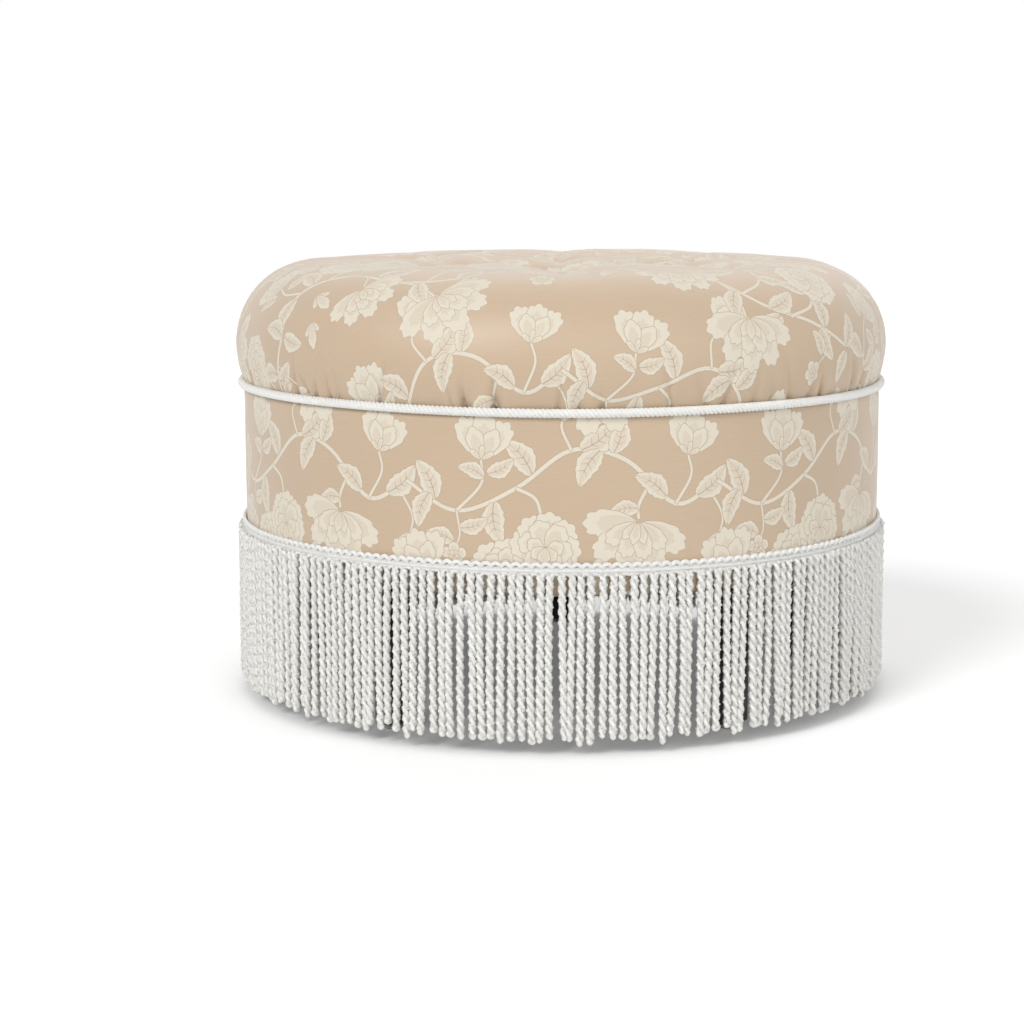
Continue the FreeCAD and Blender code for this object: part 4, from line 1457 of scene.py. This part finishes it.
class FOOTSTOOL_OT_underside(bpy.types.Operator):
    """Stretch the thin cloth that closes the stool underneath"""

    bl_idname = "footstool.underside"
    bl_label = "Underside"

    def execute(self, context):
        round_it = radius_of("dust_cover")
        low = foot_of("dust_cover")
        rings = 26
        columns = 120
        points = [(0.0, 0.0, low + CLOTH_GAP)]
        for ring in range(1, rings + 1):
            radius = round_it * ring / rings
            for column in range(columns):
                angle = column * FULL_TURN / columns
                pucker = 0.0003 * math.sin(60 * angle) * max(0, ring / rings - 0.8) * 5
                sag = -0.0004 * math.cos(math.pi / 2 * ring / rings)
                height = low + CLOTH_GAP + sag + pucker
                points.append((radius * math.cos(angle), radius * math.sin(angle), height))
        faces = [(0, 1 + (c + 1) % columns, 1 + c) for c in range(columns)]
        for ring in range(rings - 1):
            near = 1 + ring * columns
            far = near + columns
            for column in range(columns):
                beside = (column + 1) % columns
                faces.append((near + column, near + beside, far + beside, far + column))
        piece = new_piece("bottom_cloth", points, faces, MATERIALS["bottom_cloth"])
        paint_uv(piece, np.array(points)[:, :2])
        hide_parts("dust_cover")
        return {"FINISHED"}


class FOOTSTOOL_OT_twines(bpy.types.Operator):
    """Lay the waxed twines that draw the buttons down through the foam"""

    bl_idname = "footstool.twines"
    bl_label = "Tuft Twines"

    def execute(self, context):
        low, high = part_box("tuft_twines")
        yarns = []
        for x, y in button_places():
            rows = 90
            down = np.linspace(0, 1, rows)
            height = low.z + 0.004 + (high.z - low.z - 0.004) * (1 - down)
            for start in (0.0, math.pi):
                turn = start + down * 40
                offset = 0.00055
                path = np.stack([x + offset * np.cos(turn), y + offset * np.sin(turn), height], 1)
                outward = np.stack([np.cos(turn), np.sin(turn), np.zeros(rows)], 1)
                yarns.append(open_yarn(path, outward, TWINE_PLY, TWINE_SIDES))
            knot = np.linspace(0, 1, 40)
            spin = knot * FULL_TURN * 3
            wide = 0.0018
            path = np.stack([
                x + wide * np.cos(spin),
                y + wide * np.sin(spin),
                low.z + 0.0008 + 0.0030 * knot,
            ], 1)
            outward = np.stack([np.cos(spin), np.sin(spin), np.zeros(40)], 1)
            yarns.append(open_yarn(path, outward, KNOT_PLY, TWINE_SIDES))
        piece = gathered_yarns("waxed_twines", yarns, MATERIALS["twine"])
        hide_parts("tuft_twines")
        return {"FINISHED"}


class FOOTSTOOL_OT_hard_parts(bpy.types.Operator):
    """Finish the legs, boards, posts and metal parts of the frame"""

    bl_idname = "footstool.hard_parts"
    bl_label = "Hard Parts"

    def execute(self, context):
        finishes = {
            "leg_glides": "nylon_glide",
            "leg": "painted_leg",
            "hanger_bolts": "zinc_plate",
            "tee_nuts": "zinc_plate",
            "frame_screws": "zinc_plate",
            "tuft_washers": "pressed_board",
            "base_board": "plywood",
            "seat_board": "plywood",
            "frame_post": "softwood",
            "drum_wall": "pressed_board",
        }
        for name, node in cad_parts.items():
            finish = next((f for start, f in finishes.items() if name.startswith(start)), None)
            if finish is None:
                continue
            for slot in node.material_slots:
                slot.material = MATERIALS[finish]
        return {"FINISHED"}


# The floor, the lights and the camera.

CAMERA_PLACE = (0.0, -2.1258, 0.4973)
CAMERA_TILT = math.radians(80.96)
CAMERA_LENS = 78.84
CAMERA_SHIFT = -0.0483
WORLD_LEVEL = 0.45
FLOOR_GLOW = 0.12
CAMERA_SENSOR = 36

# Each lamp's name, its turn from the front and its height in degrees, its strength and its spread.

LAMPS = (
    ("window_light", (-38, 38), 1.45, 24),
    ("fill_light", (34, 22), 1.00, 70),
    ("back_light", (170, 52), 0.65, 60),
)


class FOOTSTOOL_OT_stage(bpy.types.Operator):
    """Lay the floor and set the lights and the camera"""

    bl_idname = "footstool.stage"
    bl_label = "Stage"

    def execute(self, context):
        scene = context.scene
        scene.view_settings.view_transform = "Standard"
        self.lay_floor()
        self.light_world(scene)
        for lamp in LAMPS:
            self.hang_sun(*lamp)
        lens = bpy.data.cameras.new("camera")
        lens.lens = CAMERA_LENS
        lens.sensor_width = CAMERA_SENSOR
        lens.shift_x = CAMERA_SHIFT
        camera = bpy.data.objects.new("camera", lens)
        camera.location = CAMERA_PLACE
        camera.rotation_euler = (CAMERA_TILT, 0, 0)
        scene.collection.objects.link(camera)
        scene.camera = camera
        return {"FINISHED"}

    def lay_floor(self):
        """Lays a large pale floor that keeps the stool's shadow."""
        bpy.ops.object.select_all(action="DESELECT")
        bpy.ops.mesh.primitive_plane_add(size=12, location=(0, 0, 0))
        floor = bpy.context.active_object
        floor.name = "floor"
        material, nodes, shader = new_material("floor_paper")
        here = object_place(nodes)
        dust = nodes.noise(here, 3.0, 3.0)
        tone = nodes.mix(dust, (0.96, 0.96, 0.965, 1), (0.985, 0.985, 0.985, 1))
        seen = nodes.add("ShaderNodeLightPath").outputs["Is Camera Ray"]
        glow = nodes.mix(seen, (0, 0, 0, 1), (FLOOR_GLOW, FLOOR_GLOW, FLOOR_GLOW, 1))
        fill(nodes, shader, base_color=tone, roughness=1.0, specular_ior_level=0.0)
        fill(nodes, shader, emission_color=glow, emission_strength=1.0)
        floor.data.materials.append(material)

    def light_world(self, scene):
        """Gives an even light from all sides, and white where the world itself is seen."""
        world = bpy.data.worlds.new("studio")
        scene.world = world
        world.use_nodes = True
        world.node_tree.nodes.clear()
        nodes = Nodes(world.node_tree)
        path = nodes.add("ShaderNodeLightPath").outputs
        seen = nodes.math("MAXIMUM", path["Is Camera Ray"], path["Is Glossy Ray"])
        seen = nodes.math("MAXIMUM", seen, path["Is Transmission Ray"])
        strength = nodes.step(seen, 0, 1, WORLD_LEVEL, 1.0)
        inputs = {"Color": (1, 1, 1, 1), "Strength": strength}
        background = nodes.add("ShaderNodeBackground", inputs)
        nodes.add("ShaderNodeOutputWorld", {"Surface": background.outputs[0]})

    def hang_sun(self, name, aim, strength, spread):
        """Shines a soft light from an angle round from the front and a height, in degrees."""
        lamp = bpy.data.lights.new(name, "SUN")
        lamp.energy = strength
        lamp.angle = math.radians(spread)
        piece = bpy.data.objects.new(name, lamp)
        turn, height = map(math.radians, aim)
        piece.rotation_euler = (math.pi / 2 - height, 0, turn)
        bpy.context.scene.collection.objects.link(piece)


class FOOTSTOOL_PT_panel(bpy.types.Panel):
    """The footstool's sizes, colours and steps"""

    bl_idname = "FOOTSTOOL_PT_panel"
    bl_label = "Footstool"
    bl_space_type = "VIEW_3D"
    bl_region_type = "UI"
    bl_category = "Footstool"

    def draw(self, context):
        layout = self.layout
        for group in (context.scene.footstool_sizes, context.scene.footstool_colours):
            box = layout.box()
            for name in type(group).__annotations__:
                box.prop(group, name)
        for step in STEPS:
            layout.operator(step.bl_idname)


STEPS = (
    FOOTSTOOL_OT_hard_parts,
    FOOTSTOOL_OT_crown_cover,
    FOOTSTOOL_OT_crown_filling,
    FOOTSTOOL_OT_buttons,
    FOOTSTOOL_OT_twines,
    FOOTSTOOL_OT_side,
    FOOTSTOOL_OT_edge_cord,
    FOOTSTOOL_OT_fringe_heading,
    FOOTSTOOL_OT_fringe,
    FOOTSTOOL_OT_underside,
    FOOTSTOOL_OT_stage,
)
CLASSES = (FootstoolSizes, FootstoolColours, *STEPS, FOOTSTOOL_PT_panel)


def register():
    """Adds the classes and their settings to Blender."""
    for item in CLASSES:
        bpy.utils.register_class(item)
    bpy.types.Scene.footstool_sizes = bpy.props.PointerProperty(type=FootstoolSizes)
    bpy.types.Scene.footstool_colours = bpy.props.PointerProperty(type=FootstoolColours)


def unregister():
    """Takes the classes and their settings out again."""
    del bpy.types.Scene.footstool_colours
    del bpy.types.Scene.footstool_sizes
    for item in reversed(CLASSES):
        bpy.utils.unregister_class(item)


def main():
    """Builds every piece in order."""
    register()
    make_materials()
    for step in STEPS:
        area, name = step.bl_idname.split(".")
        getattr(getattr(bpy.ops, area), name)()


if __name__ == "__main__":
    main()
